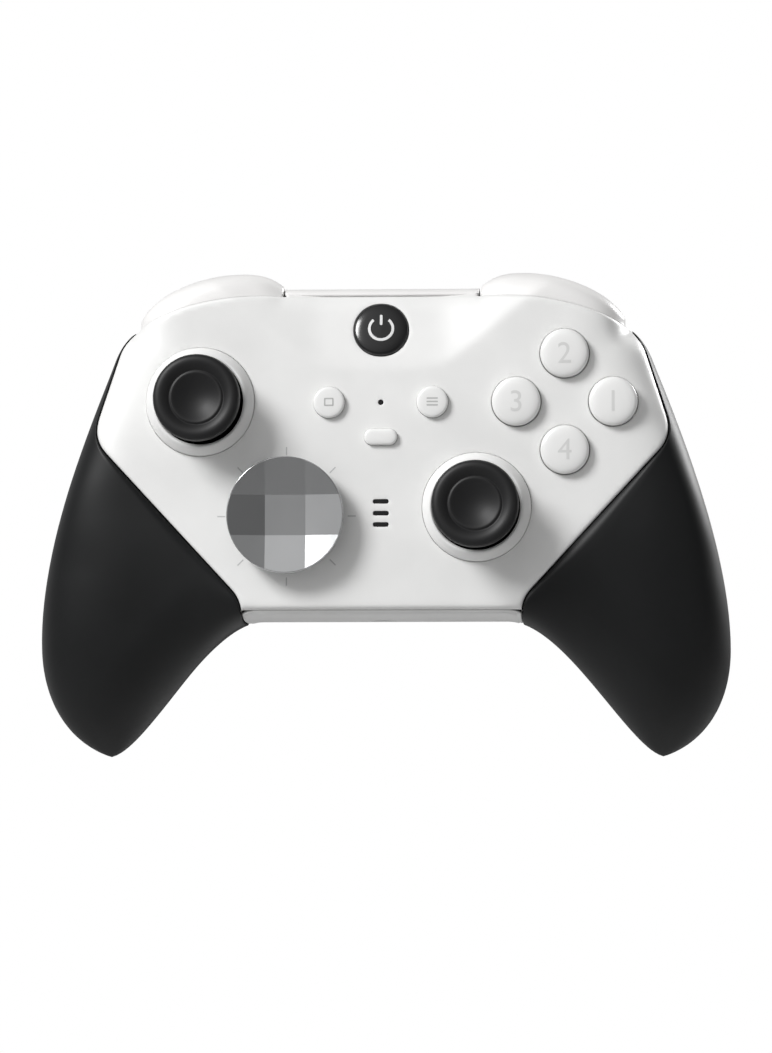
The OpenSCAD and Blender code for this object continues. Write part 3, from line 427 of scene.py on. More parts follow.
def lathe_ring(c, y, profile, out, n=112):
    """Closed profile turned about an axis along Y into a ring, its last row joined to the first."""
    points = turned_rows(c, y, profile, full_turn(n), out)
    return points, turn_out(points, grid_faces(len(profile) + 1, n, True) % len(points))


def tilted(p, y, z, angle):
    """Points turned about a line along X at depth y and height z."""
    dy, dz = p[:, 1] - y, p[:, 2] - z
    cos, sin = math.cos(angle), math.sin(angle)
    return joined(p[:, 0], y + dy * cos - dz * sin, z + dy * sin + dz * cos)


# Finishes

def linear(code):
    """Linear colour of an sRGB hex code."""
    v = np.array([int(code[k:k + 2], 16) for k in (1, 3, 5)]) / 255
    v = np.where(v <= 0.04045, v / 12.92, ((v + 0.055) / 1.055) ** 2.4)
    return (*v.tolist(), 1.0)


def add(tree, kind, settings=(), values=(), links=()):
    """A shader node with its settings, its socket values and the sockets that feed it."""
    node = tree.nodes.new("ShaderNode" + kind)
    for name, value in dict(settings).items():
        setattr(node, name, value)
    for name, value in dict(values).items():
        node.inputs[name].default_value = value
    for name, source in dict(links).items():
        tree.links.new(source, node.inputs[name])
    return node


def speckled(name, dark, light, rough, grain_mm, bump, values=()):
    """Two close tones in soft clouds, roughness that follows them, and a fine moulded grain in relief."""
    mat = bpy.data.materials.new(name)
    mat.use_nodes = True
    tree = mat.node_tree
    shader = tree.nodes["Principled BSDF"]
    for key, value in dict(values).items():
        shader.inputs[key].default_value = value
    place = add(tree, "TexCoord").outputs["Object"]
    cloud = add(tree, "TexNoise", values={"Scale": 60.0, "Detail": 3.0}, links={"Vector": place})
    tone = add(tree, "ValToRGB", links={"Fac": cloud.outputs["Fac"]})
    for stop, at, code in zip(tone.color_ramp.elements, (0.3, 0.7), (dark, light)):
        stop.position = at
        stop.color = linear(code)
    tree.links.new(tone.outputs["Color"], shader.inputs["Base Color"])
    dull = add(tree, "MapRange", values={"To Min": rough - 0.04, "To Max": rough + 0.04},
               links={"Value": cloud.outputs["Fac"]})
    tree.links.new(dull.outputs["Result"], shader.inputs["Roughness"])
    grain = add(tree, "TexNoise", values={"Scale": 1 / (grain_mm * MM), "Detail": 2.0},
                links={"Vector": place})
    relief = add(tree, "Bump", values={"Strength": bump, "Distance": 0.05 * MM},
                 links={"Height": grain.outputs["Fac"]})
    tree.links.new(relief.outputs["Normal"], shader.inputs["Normal"])
    return mat


ABS, METAL = {"IOR": 1.53}, {"Metallic": 1.0}
# White ABS, spark-eroded mould: pale, soft sheen, a grain drawn at 0.5 mm so that it shows
white_abs = speckled("white_moulded_abs", "#EAEAE9", "#F1F1F0", 0.42, 0.5, 0.05, ABS)
# The bumpers' and triggers' ABS comes from a smoother mould
smooth_abs = speckled("white_smooth_abs", "#EBEAE9", "#F1F0EF", 0.33, 0.8, 0.03, ABS)
# Face buttons: polished ABS, a clear glance on the rim
polished_abs = speckled("white_polished_abs", "#EEEEED", "#F4F4F3", 0.22, 0.9, 0.01,
                        {**ABS, "Coat Weight": 0.25})
# Stick rubber: dull, nearly black, with a fine matte tooth
stick_rubber = speckled("black_stick_rubber", "#161617", "#1B1B1C", 0.5, 0.4, 0.1,
                        {"IOR": 1.5, "Specular IOR Level": 0.4})
# Black ABS of the inner frame and shafts: a dull sheen
black_abs = speckled("black_moulded_abs", "#161617", "#1B1B1C", 0.5, 0.5, 0.06, ABS)
# Polished black ABS of the guide button and lock knobs: deep, with clear glints
gloss_abs = speckled("black_polished_abs", "#0E0E0F", "#121213", 0.2, 0.9, 0.01,
                     {**ABS, "Coat Weight": 0.3, "Coat Roughness": 0.15})
# Pad-printed inks, flat and dull: small buttons, guide button, ticks, back signs, face numerals
grey_ink = speckled("grey_printed_ink", "#B9B9B8", "#C0C0BF", 0.55, 0.4, 0.02)
pale_ink = speckled("pale_printed_ink", "#E2E2E2", "#EAEAEA", 0.45, 0.4, 0.02)
tick_ink = speckled("pale_grey_tick_ink", "#C2C2C2", "#C9C9C9", 0.55, 0.4, 0.02)
sign_ink = speckled("warm_grey_sign_ink", "#A6A29F", "#ADA9A6", 0.5, 0.4, 0.02)
mark_ink = speckled("tone_on_tone_ink", "#D6D6D5", "#DCDCDB", 0.35, 0.4, 0.02)
# Smoked acrylic of the status lens and light bars: nearly black, smooth
dark_lens = speckled("smoked_lens", "#141415", "#19191A", 0.2, 0.9, 0.01, {"IOR": 1.49})
# Inner parts: black solder mask, wrapped cell, silicone mat, worn gold plating, bright steel
board_mask = speckled("black_solder_mask", "#0E1110", "#141816", 0.45, 0.6, 0.03)
cell_wrap = speckled("grey_cell_wrap", "#5C5E60", "#66686A", 0.4, 0.8, 0.02)
soft_mat = speckled("grey_silicone_mat", "#7A7B7C", "#848586", 0.6, 0.5, 0.04)
gold_plate = speckled("gold_plated_pin", "#6E6A60", "#7C776B", 0.3, 0.7, 0.01, METAL)
bright_steel = speckled("bright_turned_steel", "#A8AAAC", "#B6B8BA", 0.28, 0.7, 0.02, METAL)
# Direction disc: polished plated metal, each facet a near mirror
disc_metal = speckled("polished_plated_metal", "#C9CACB", "#D2D3D4", 0.16, 0.7, 0.004, METAL)


def grip_rubber():
    """Moulded rubber: smooth on the face, and on the back rows of small slanted studs.

    The studs are the sum of two slanted sine waves of the surface's own millimetres.
    The share of studs is the mesh attribute stud, 0 on the face and 1 on the back."""
    mat = speckled("black_grip_rubber", "#101112", "#141516", 0.5, 0.4, 0.08,
                   {"IOR": 1.5, "Specular IOR Level": 0.32})
    tree = mat.node_tree
    shader = tree.nodes["Principled BSDF"]
    tone, grain = [shader.inputs[k].links[0].from_socket for k in ("Base Color", "Normal")]
    place = add(tree, "UVMap", {"uv_map": "studs"}).outputs["UV"]
    waves = []
    for angle in (STUD_ANGLE, -STUD_ANGLE):
        lie = add(tree, "Mapping", values={"Rotation": (0, 0, angle)}, links={"Vector": place})
        axis = add(tree, "SeparateXYZ", links={"Vector": lie.outputs["Vector"]})
        turn = add(tree, "Math", {"operation": "MULTIPLY"}, {1: 2 * math.pi / STUD_MM},
                   {0: axis.outputs["X"]})
        waves.append(add(tree, "Math", {"operation": "SINE"}, links={0: turn.outputs[0]}))
    both = add(tree, "Math", {"operation": "ADD"}, links={k: waves[k].outputs[0] for k in (0, 1)})
    share = add(tree, "Attribute", {"attribute_name": "stud"}).outputs["Fac"]
    height = add(tree, "Math", {"operation": "MULTIPLY"}, links={0: both.outputs[0], 1: share})
    # Painted highlight: the raised part of each stud takes a paler colour below, so stud tops are painted
    # lighter than the valleys
    top = add(tree, "Math", {"operation": "MAXIMUM"}, {1: 0.0}, {0: height.outputs[0]})
    painted_stud_highlight = add(tree, "Mix", {"data_type": "RGBA"}, {7: linear("#2A2B2D")},
                {0: top.outputs[0], 6: tone})
    tree.links.new(painted_stud_highlight.outputs[2], shader.inputs["Base Color"])
    studs = add(tree, "Bump", values={"Strength": 1.0, "Distance": STUD_TALL * MM},
                links={"Height": height.outputs[0], "Normal": grain})
    tree.links.new(studs.outputs["Normal"], shader.inputs["Normal"])
    return mat


grip_black = grip_rubber()


# Front shell

def on_face(p, drop=0):
    """Points of the plane set on the face, sunk by drop."""
    return joined(p[:, 0], face_y(*p.T) + drop, p[:, 1])


buttons = {name: (PAD_MID[0] + PAD_REACH * dx, PAD_MID[1] + PAD_REACH * dz)
           for name, dx, dz in (("north", 0, 1), ("south", 0, -1), ("east", 1, 0), ("west", -1, 0))}


def front_shell():
    """The face sheet inside its seams, pierced for each control, with a straight wall behind it."""
    side = aside(face_seam, -SEAM / 2)[::-1]
    rim_z = lambda x: side[-1, 1] + height_at(x, plate_top) - height_at(shoulder[0], plate_top)
    x = np.linspace(shoulder[0] - 0.2, 0, 90)[1:]
    low = joined(np.linspace(0, side[0, 0], 45)[:-1], plate_bottom + SEAM / 2)
    loop = whole_loop(np.vstack([low, side[::2], joined(x, rim_z(x))]))
    holes = [round_hole(c, COLLAR_R + 0.06, 0.2) for c in (LEFT_STICK, RIGHT_STICK)]
    holes += [round_hole(DPAD, 7.5, 0.4)]
    holes += [round_hole(c, BUTTON_R + 0.13, 0.3) for c in buttons.values()]
    holes += [round_hole((s * MENU_AT[0], MENU_AT[1]), MENU_R + 0.04, 0.12) for s in (-1, 1)]
    holes += [((0, PROFILE_Z), 3.74, 1.84, 1.83, 0.12, None)]
    holes += [((0, GUIDE_Z), GUIDE_R + 0.12, GUIDE_R, GUIDE_R - 0.01, 0.25, None)]
    holes += [((0, z), 1.75, 0.5, 0.45, 0.12, None) for z in LIGHT_BARS]
    holes += [round_hole((0, MENU_AT[1]), 0.6, 0.1)]
    flat, tris, drop = pierced(loop, holes, 0.9, 0.7)
    x = np.abs(flat[:, 0])
    below_top = rim_z(x) - flat[:, 1]
    outer = on_face(flat, drop * (1 - 0.75 * smooth(2, 1, below_top) * smooth(21.6, 21.0, x)))
    inner = on_face(flat, WALL - 1.3 * smooth(3.0, 1.5, below_top))
    points, faces = slab(outer, inner, tris)
    make("front_shell_skin", points, faces, white_abs)


# Back shell

def back_section():
    """Middle section of the back: lengths from the bottom edge, negative on the face side, and heights."""
    t = np.linspace(0, 1, 400) ** 3
    rise, foot = t * (TOP_Z - 7 - BOTTOM_Z), t * (plate_bottom - SEAM / 2 - BOTTOM_Z)
    back = lengths(joined(back_y(0 * t, BOTTOM_Z + rise), rise))
    face = lengths(joined(face_y(0 * t, BOTTOM_Z + foot), foot))
    return np.concatenate([-face[::-1], back[1:]]), np.concatenate([foot[::-1], rise[1:]])


SECTION, SECTION_RISE = back_section()


def unrolled(z):
    """Length along the middle section at a height on the back."""
    k = len(SECTION) // 2
    return np.interp(z - BOTTOM_Z, SECTION_RISE[k:], SECTION[k:])


def on_back_shell(p):
    """Points of the unrolled back, set on the face side below the bottom edge and on the back above it."""
    x, w = p.T
    d = np.interp(w, SECTION, SECTION_RISE)
    dip = height_at(np.minimum(np.abs(x), NECK_X), lower_edge[::-1]) - BOTTOM_Z
    z = BOTTOM_Z + d + dip * smooth(10, 0, d)
    return joined(x, np.where(w < 0, face_y(x, z), back_y(x, z)), z)


def sunk(points, drop):
    """Points moved by drop towards a line inside the body, level with them or above the bottom edge."""
    line = joined(points[:, 0], PARTING_Y + 3, np.maximum(points[:, 2], BOTTOM_Z + 9))
    return points + drop[:, None] * unit(line - points)


def slot_loop(s, z):
    """Outline of a paddle socket: an upright opening with a narrow slit towards the paddle button."""
    p = np.array([[19.6, -2.2], [22.3, -2.2], [22.3, -0.45], [24.4, -0.45]])
    p = np.vstack([p, p[::-1] * [1, -1], p[:1]])
    dense = spaced(p, np.arange(56) / 56)
    return joined(s * dense[:, 0], unrolled(z + dense[:, 1]))


def back_shell():
    """The back sheet and the bottom edge in one, with its recesses, sockets and channels."""
    seam = aside(back_seam, -SEAM / 2)
    side = seam[::-1]
    side = side[side[:, 1] > BOTTOM_Z + 1.0]
    side = joined(side[:, 0], unrolled(side[:, 1]))
    foot = SECTION[0]
    edge_x = NECK_X - SEAM / 2
    low = joined(np.linspace(0, edge_x, 45), foot)
    rise = joined(edge_x, np.linspace(foot, side[0, 1], 50)[1:-1])
    x = np.linspace(seam[0, 0], 0, 90)[1:]
    top = joined(x, unrolled(seam[0, 1] + height_at(x, back_top) - height_at(x[0], back_top)))
    loop = whole_loop(np.vstack([low, rise, side[::2], top]))
    at = lambda x, z: (x, float(unrolled(z)))
    cuts = [round_hole(at(k * CONTACT_STEP, CONTACT_Z), 0.9, 0.12) for k in (-1, 0, 1)]
    for x, z, a in ((-11.2, CONTACT_Z, 2.95), (11.2, CONTACT_Z, 2.95), (0, -6.6, 3.5)):
        cuts.append((at(x, z), a, 0.65, 0.64, 0.12, 0.55))
    k = len(SECTION) // 2 + 1
    jack = np.interp(JACK_Y, back_y(0 * SECTION, BOTTOM_Z + SECTION_RISE)[k:], SECTION[k:])
    cuts.append(round_hole((0, float(jack)), 3.1, 0.4))
    mid_z = LOCK_AT[1] - LOCK_TRAVEL / 2
    for s in (-1, 1):
        cuts.append((at(s * LOCK_AT[0], mid_z), 2.6, LOCK_TRAVEL / 2 + 2.6, 2.55, 0.5, 2.2))
        cuts.append((at(s * BAY_AT[0], BAY_AT[1]), *BAY_HALF, 0.5, 0.15, 0.8))
        cuts += [round_hole(at(s * x, z), 2.1, 0.1) for x, z in PADDLES]
    sockets = [slot_loop(s, z) for s in (-1, 1) for _, z in PADDLES]
    flat, tris, drop = pierced(loop, cuts, 0.95, 0.5, sockets, 0.95)
    surface = on_back_shell(flat)
    points, faces = slab(sunk(surface, drop), sunk(surface, WALL + np.maximum(drop - 0.6, 0)), tris)
    make("back_shell_skin", points, faces, white_abs)


# Grips

def grip_half():
    """Rows from the face seam out to the outline and back to the back seam, crowded at the outline."""
    f, b = aside(face_seam, SEAM / 2), aside(back_seam, SEAM / 2)
    rim = np.vstack([outer_edge, lower_edge[1:]])
    rim = rim[rim[:, 0] >= NECK_X]
    rim = np.vstack([rim, [[NECK_X, height_at(NECK_X, lower_edge[::-1])]]])
    s, fs = lengths(rim), lengths(face_seam)
    corner = fs[face_seam[:, 1] > 18][-1] / fs[-1]
    turn = s[(rim[:, 0] > 62) & (rim[:, 1] > 17)][-1] / s[-1]
    t = fs / fs[-1]
    share = np.where(t < corner, 0.012 + (turn - 0.012) * t / corner,
                     turn + (1 - turn) * (t - corner) / (1 - corner))
    e = spaced(rim, share)
    u = 1 - (1 - np.linspace(0, 1, 44)) ** 2.0
    sheets = []
    for seam, depth, sign in ((f, face_y, 1), (b, back_y, -1)):
        p = seam[:, None] + (e - seam)[:, None] * u[:, None]
        x, z = np.moveaxis(p, 2, 0)
        edge = edge_drop(np.linalg.norm(p - seam[:, None], axis=2), 0.3)
        sheets.append(joined(x, depth(x, z) + sign * edge, z))
    return np.concatenate([sheets[0], sheets[1][:, -2::-1]], 1)


def grips():
    """Both grips: these rows with a wall behind them, a map of surface millimetres and a share of studs."""
    g = grip_half()
    n, m = g.shape[:2]
    across, along = lengths(g, 1), lengths(g, 0)
    j = np.arange(m)
    share = np.broadcast_to(smooth(38, 50, j), (n, m)) * smooth(0, 7, across[:, -1:] - across)
    normal = unit(np.cross(np.gradient(g, axis=0), np.gradient(g, axis=1)))
    middle = np.array([0, PARTING_Y + 8, -10])
    sign = np.sign(np.sum(normal * (middle - g), 2).mean())
    w = np.clip(np.minimum(j, m - 1 - j) / 8, 0, 1)[None, :, None]
    straight = joined(0, np.where(j < m / 2, 1, -1), 0)[None]
    inner = g + GRIP_WALL * unit(straight * (1 - w) + sign * normal * w)
    points, faces = slab(g, inner, grid_faces(n, m))
    for name, p, f in (("right_grip", points, faces), ("left_grip", *mirrored(points, faces))):
        me = make(name + "_skin", p, f, grip_black).data
        corner = np.zeros(len(me.loops), np.int32)
        me.loops.foreach_get("vertex_index", corner)
        plane = np.tile(joined(across, along).reshape(-1, 2), (2, 1))
        me.uv_layers.new(name="studs").data.foreach_set("uv", plane[corner].astype(np.float32).ravel())
        layer = me.attributes.new("stud", "FLOAT", "POINT")
        layer.data.foreach_set("value", np.tile(share.ravel(), 2).astype(np.float32))


# Top plate

def back_height(x, y):
    """Height near the top edge at which the back sheet has depth y, found by halving."""
    z0 = height_at(np.abs(x), top_edge)
    lo, hi = np.zeros_like(x), np.full_like(x, 8.9)
    for _ in range(26):
        mid = (lo + hi) / 2
        short = back_y(x, z0 - mid) < y
        lo, hi = np.where(short, mid, lo), np.where(short, hi, mid)
    return z0 - (lo + hi) / 2


def flare(z):
    """Widening of the top plate's ends below the top edge, on the back."""
    return 1.4 * np.clip((50 - z) / 2.7, 0, 1)


def top_plate():
    """Strip over the top edge, laid out by width and depth, with the charging slot and a button hole."""
    front = float(face_y(0.0, TOP_Z - PLATE_DROP))
    back = float(back_y(0.0, TOP_Z - BACK_DROP + SEAM / 2))
    y = np.concatenate([np.linspace(front, TURN_Y, 14)[:-1], np.linspace(TURN_Y, back, 40)])
    x = np.linspace(0, TOP_HALF, 30)[:-1]
    half = np.vstack([joined(x, front), joined(TOP_HALF, y), joined(x[::-1], back)])
    holes = [((0, USB_Y), *USB_HALF, USB_CORNER, 0.25, None), round_hole(PAIR_AT, 1.6, 0.2)]
    flat, tris, drop = pierced(whole_loop(half), holes, 0.9, 0.35)
    x, y = flat.T
    on_front, rear_y = y < TURN_Y, np.maximum(y, TURN_Y)
    x = x + np.sign(x) * flare(back_height(x, rear_y)) * smooth(14, TOP_HALF, np.abs(x)) * ~on_front
    s = np.clip((y - TURN_Y) / (front - TURN_Y), 0, 1)
    rise = PLATE_DROP * (1 - np.sqrt(np.maximum(1 - s ** 2.2, 0)))
    z = np.where(on_front, height_at(np.abs(x), top_edge) - rise, back_height(x, rear_y))
    z = z - drop * np.where(on_front, 0.3, 1)
    outer = joined(x, y, z)
    c = joined(x, PARTING_Y + 4, TOP_Z - 6.8) - outer
    c[np.hypot(x - PAIR_AT[0], y - PAIR_AT[1]) < 2.2] = [0, 0, -1]
    points, faces = slab(outer, outer + THIN_WALL * unit(c), tris)
    make("top_plate_skin", points, faces, smooth_abs)


def usb_mouth():
    """Black mouth of the charging socket, a little below the top plate: a rim and a deep slot."""
    rows, n = [], 72
    for inset, down in ((-0.1, 0.45), (0.45, 0.45), (0.5, 3.0)):
        ring = outline_ring((0, USB_Y), USB_HALF[0] - inset, USB_HALF[1] - inset, USB_CORNER - inset, n)
        rows.append(joined(*ring.T, back_height(*ring.T) - down))
    points = np.vstack([*rows, rows[-1].mean(0)])
    make("usb_mouth", points, [*grid_faces(3, n, True), *fan(3 * n, 2 * n, n)], black_abs)


def top_lip():
    """White strip that closes the seam between the face and the top plate from behind."""
    half = TOP_HALF - 0.3
    x, t = np.meshgrid(np.linspace(-half, half, 60), np.linspace(-1.6, 0.9, 8), indexing="ij")
    z = height_at(np.abs(x), plate_top) + t
    outer = joined(x, face_y(x, z) + 0.72, z)
    points, faces = slab(outer, outer + [0, 0.5, 0], grid_faces(60, 8))
    make("top_plate_lip", points, faces, smooth_abs)


# Bumpers and triggers

def shoulder_walls():
    """Black inner walls under the bumpers, so that the gaps round the triggers don't show daylight."""
    rim = np.vstack([top_edge, outer_edge[1:11]])
    x, t = np.meshgrid(np.linspace(33, 56.5, 30), np.linspace(0, 1, 6), indexing="ij")
    foot = 38 - 8 * smooth(47, 50, x)
    z = foot + np.maximum(height_at(x + 1.7, rim) - 2.2 - foot, 0.1) * t
    wall = joined(x, WALL_Y, z)
    points, faces = slab(wall, wall - [0, 0.8, 0], grid_faces(30, 6))
    y = np.array([-27, -4.5, -4.5, -6.5, -9, -15, -22, -27])
    z = np.array([38, 38, 47, 49.5, 51, 52, 52, 50])
    wall = joined(30.6, y, z)
    baffle, caps = slab(wall, wall - [0.8, 0, 0], np.array([np.arange(8)]))
    n = len(points)
    points, faces = np.vstack([points, baffle]), [*faces, *[np.asarray(f) + n for f in caps]]
    both_sides("shoulder_wall", points, faces, black_abs, shade=False)


def bumper_lips():
    """White strips behind the seam between each bumper and the back shell."""
    x, t = np.meshgrid(np.linspace(20.5, 31.4, 24), np.linspace(-0.9, 0.5, 5), indexing="ij")
    z = height_at(x, back_top) + t
    outer = joined(x, back_y(x, z) - 1.75, z)
    points, faces = slab(outer, outer - [0, 0.5, 0], grid_faces(24, 5))
    both_sides("bumper_lip", points, faces, smooth_abs)


BUMPER_FOOT = soften([[20, 44.9], [30.9, 44.9], [31.5, 45.6], [31.9, 48.2], [32.6, 48.9], [34.6, 49.3],
                      [36.6, 50.3], [38.6, 51.9], [41, 53], [56, 53]])


def to_core(g, z0):
    """Unit steps from a bumper's points towards a line inside it."""
    return unit(joined(g[..., 0], PARTING_Y + 5, z0[:, None] - 7) - g)


def bumper_half():
    """Rows from behind the plate's top edge, over the crown and down the back.

    The front lies one millimetre behind the face at the plate's edge and is level with it at the crown."""
    start = TOP_HALF + 1
    x = np.concatenate([np.linspace(TOP_HALF + 0.4, start, 6)[:-1], np.linspace(start, 53.8, 90)])
    z0, low = height_at(x, top_edge), height_at(x, plate_top)
    t = np.concatenate([np.linspace(-0.5, 0, 4)[:-1], 1 - (1 - np.linspace(0, 1, 24)) ** 2.4])
    zf = low[:, None] + np.where(t < 0, 1.0, (z0 - low)[:, None]) * t
    xf = np.broadcast_to(x[:, None], zf.shape)
    back_set = 1.0 - smooth(low[:, None], z0[:, None] + 0.4, zf)
    front = joined(xf, face_y(xf, zf) + back_set, zf)
    foot = np.minimum(height_at(x, BUMPER_FOOT), z0 - 2.6)
    q = np.linspace(0, 1, 30)[1:] ** 2.0
    zb = z0[:, None] + (foot - z0)[:, None] * q
    xb = x[:, None] + flare(zb) * smooth(30, TOP_HALF, x)[:, None]
    g = np.concatenate([front, joined(xb, back_y(xb, zb), zb)], 1)
    end = edge_drop(x - x[0], 0.5)[:, None, None]
    return g + end * to_core(g, z0), z0


def bumpers():
    """Both bumpers, with a wall turned towards a line inside them."""
    g, z0 = bumper_half()
    points, faces = slab(g, g + THIN_WALL * to_core(g, z0), grid_faces(*g.shape[:2]))
    both_sides("bumper_skin", points, faces, smooth_abs, "bumper")


TRIGGER_TOP = soften([[31, 47.2], [34.6, 48.0], [36.6, 48.9], [38.8, 50.6], [40.4, 51.8], [45, 50.4],
                      [49.5, 47.4], [52.4, 44.6], [53.4, 43.9]])


def trigger_half():
    """Polar sheet about the hinge: its radius follows the back shell's lip, swells and is cut on top."""
    x = np.linspace(31.6, 53.4, 76)
    far = np.maximum(x, 40)
    z = height_at(far, back_top)
    lip = np.hypot(back_y(far, z) - WALL - TRIGGER_PIN[0], z - TRIGGER_PIN[1]) - 0.7
    v = np.linspace(0, 1, 60)
    end = 44 + (6 - 44) * smooth(47, 53.4, x)
    a = -40 + (end[:, None] + 40) * v
    flank = 0.45 + 0.55 * smooth(31.6, 39.2, x)
    swell = 3.2 * smooth(33, 39.2, x) * smooth(54, 50, x)
    r = (lip * flank)[:, None] + swell[:, None] * smooth(3, 15, a)
    cut = (height_at(x, TRIGGER_TOP) - TRIGGER_PIN[1])[:, None] / np.sin(np.radians(np.maximum(a, 4)))
    r = -np.log(np.exp(-r) + np.exp(-cut))
    cos, sin = np.cos(np.radians(a)), np.sin(np.radians(a))
    sheet = lambda r: joined(x[:, None], TRIGGER_PIN[0] + r * cos, TRIGGER_PIN[1] + r * sin)
    return sheet(r), sheet(3.4)


def triggers():
    """Both triggers, closed between the outer sheet and a round core about the pin."""
    g, core = trigger_half()
    points, faces = slab(g, core, grid_faces(*g.shape[:2]))
    both_sides("trigger_skin", points, faces, smooth_abs, "trigger")


# Thumb sticks and direction disc

def at_face(c):
    """Depth of the face at one place."""
    return float(face_y(*c))


def sticks():
    """Collar, domed shaft and dished cap of each stick, turned about its axis."""
    for name, c in (("left_stick", LEFT_STICK), ("right_stick", RIGHT_STICK)):
        y = at_face(c)
        ring = [(9.6, -2.2), (12, -2.2), (12, 0.35), (11.9, 0.8), (11.5, 1.5), (11.0, 2.2), (10.55, 2.75),
                (10.15, 2.95), (9.8, 2.75), (9.62, 2.1), (9.6, -2.2)]
        p, f = lathe_ring(c, y, np.vstack([ring[0], soften(ring[1:-1])]), -1)
        make(name + "_collar_skin", p, f, white_abs)
        q = np.radians(np.linspace(58, 12, 24))
        dome = [(10.3 * math.sin(t), 10.3 * math.cos(t) - PIVOT_DEPTH) for t in q]
        shaft = [(0.01, -4.2), (8.2, -4.4), *dome, (2.8, 0.6), (2.8, CAP_H - 5.3), (0.01, CAP_H - 5.3)]
        p, f = stack(c, y, 0, 0, 0, shaft, -1, 96)
        make(name + "_shaft_skin", p, f, black_abs, name)
        down = [(0.01, 5.5), (4, 5.2), (8.4, 4.1), (9.4, 3.4), (9.6, 2.4), (9.55, 1.2), (9.2, 0.4),
                (8.4, 0.02), (7.4, 0.1), (6.5, 0.6), (6.1, 0.95), (5.9, 0.98), (5.6, 0.8), (5.2, 0.85),
                (4.2, 1.35), (2.5, 2.05), (1.0, 2.35), (0.01, 2.4)]
        p, f = lathe(c, y, [(r, CAP_H - d) for r, d in down], -1, 112)
        make(name + "_cap_skin", p, f, stick_rubber, name)


def direction_disc():
    """Round disc with nine flat facets: the height rises beyond a square floor, on each axis by itself."""
    a, slope, n = 4.45, 0.2, 160
    low, floor = DPAD_LIFT, DPAD_LIFT + 1.7
    r = DPAD_R - 0.25
    y = at_face(DPAD)
    height = lambda x, z: floor + slope * (np.maximum(np.abs(x) - a, 0) + np.maximum(np.abs(z) - a, 0))
    marks = np.concatenate([np.linspace(-r, -a, 14), np.linspace(-a, a, 10), np.linspace(a, r, 14)])
    gx, gz = [v.ravel() for v in np.meshgrid(np.unique(marks), np.unique(marks))]
    near = np.hypot(gx, gz) < r - 0.35
    line = np.sqrt(r * r - a * a)
    ends = [[sx * p, sz * q] for p, q in ((a, line), (line, a)) for sx in (-1, 1) for sz in (-1, 1)]
    points = np.vstack([outline_ring((0, 0), r, r, r, n), ends, joined(gx[near], gz[near])])
    flat, _, tris, _, _, _ = delaunay_2d_cdt(points.tolist(), [], [], 0, 1e-4)
    x, z = np.array([v[:] for v in flat]).T
    p = joined(DPAD[0] + x, y - height(x, z), DPAD[1] + z)
    make("dpad_disc_facets", p, tris, disc_metal, "dpad", shade=False)
    q = full_turn(n)
    edge = height(r * np.cos(q), r * np.sin(q))
    rows = [(r, edge), (r + 0.1, edge + 0.02), (DPAD_R, edge - 0.15), (DPAD_R, low + 0.8),
            (DPAD_R - 0.3, low + 0.25), (DPAD_R - 0.8, low), (2.6, low), (2.6, -8.2)]
    m = len(rows)
    points = np.vstack([turned_rows(DPAD, y, rows, q, -1), [DPAD[0], y + 8.2, DPAD[1]]])
    faces = [*grid_faces(m, n, True)[:, ::-1], *fan(m * n, (m - 1) * n, n)[:, [0, 2, 1]]]
    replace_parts(make("dpad_disc_rim", points, faces, disc_metal, "dpad"), "dpad_disc")


# Buttons

def face_buttons():
    """Four domed buttons with a softly rounded rim, each with its numeral."""
    r = BUTTON_R
    rim = [(0.01, -4.5), (r, -4.5), (r, 1.3), (r - 0.2, 1.7), (r - 0.7, 2.05), (r - 1.8, 2.3), (1.5, 2.4),
           (0.01, 2.41)]
    for text, (side, c) in zip("2413", buttons.items()):
        y, name = at_face(c), f"button_{side}"
        p, f = lathe(c, y, rim, -1)
        make(name + "_skin", p, f, polished_abs, name)
        numeral(name + "_numeral", text, c, y - 2.3, 6.6, mark_ink, name, -1)


def numeral(name, text, c, y, size, material, body, out):
    """A numeral as a thin raised piece, facing the front (out -1) or the back (out 1)."""
    curve = bpy.data.curves.new(name, "FONT")
    curve.body, curve.size = text, size * MM
    curve.align_x = curve.align_y = "CENTER"
    curve.extrude, curve.resolution_u = 0.12 * MM, 6
    o = bpy.data.objects.new(name + "_curve", curve)
    bpy.context.scene.collection.objects.link(o)
    me = bpy.data.meshes.new_from_object(o.evaluated_get(bpy.context.evaluated_depsgraph_get()))
    v = np.zeros(3 * len(me.vertices), np.float32)
    me.vertices.foreach_get("co", v)
    v = v.reshape(-1, 3) / MM
    mid = (v.min(0) + v.max(0)) / 2
    faces = [list(q.vertices) for q in me.polygons]
    bpy.data.objects.remove(o)
    bpy.data.meshes.remove(me)
    x = c[0] - out * (v[:, 0] - mid[0])
    points = joined(x, y + out * v[:, 2], c[1] + v[:, 1] - mid[1])
    make(name, points, faces, material, body, shade=False)


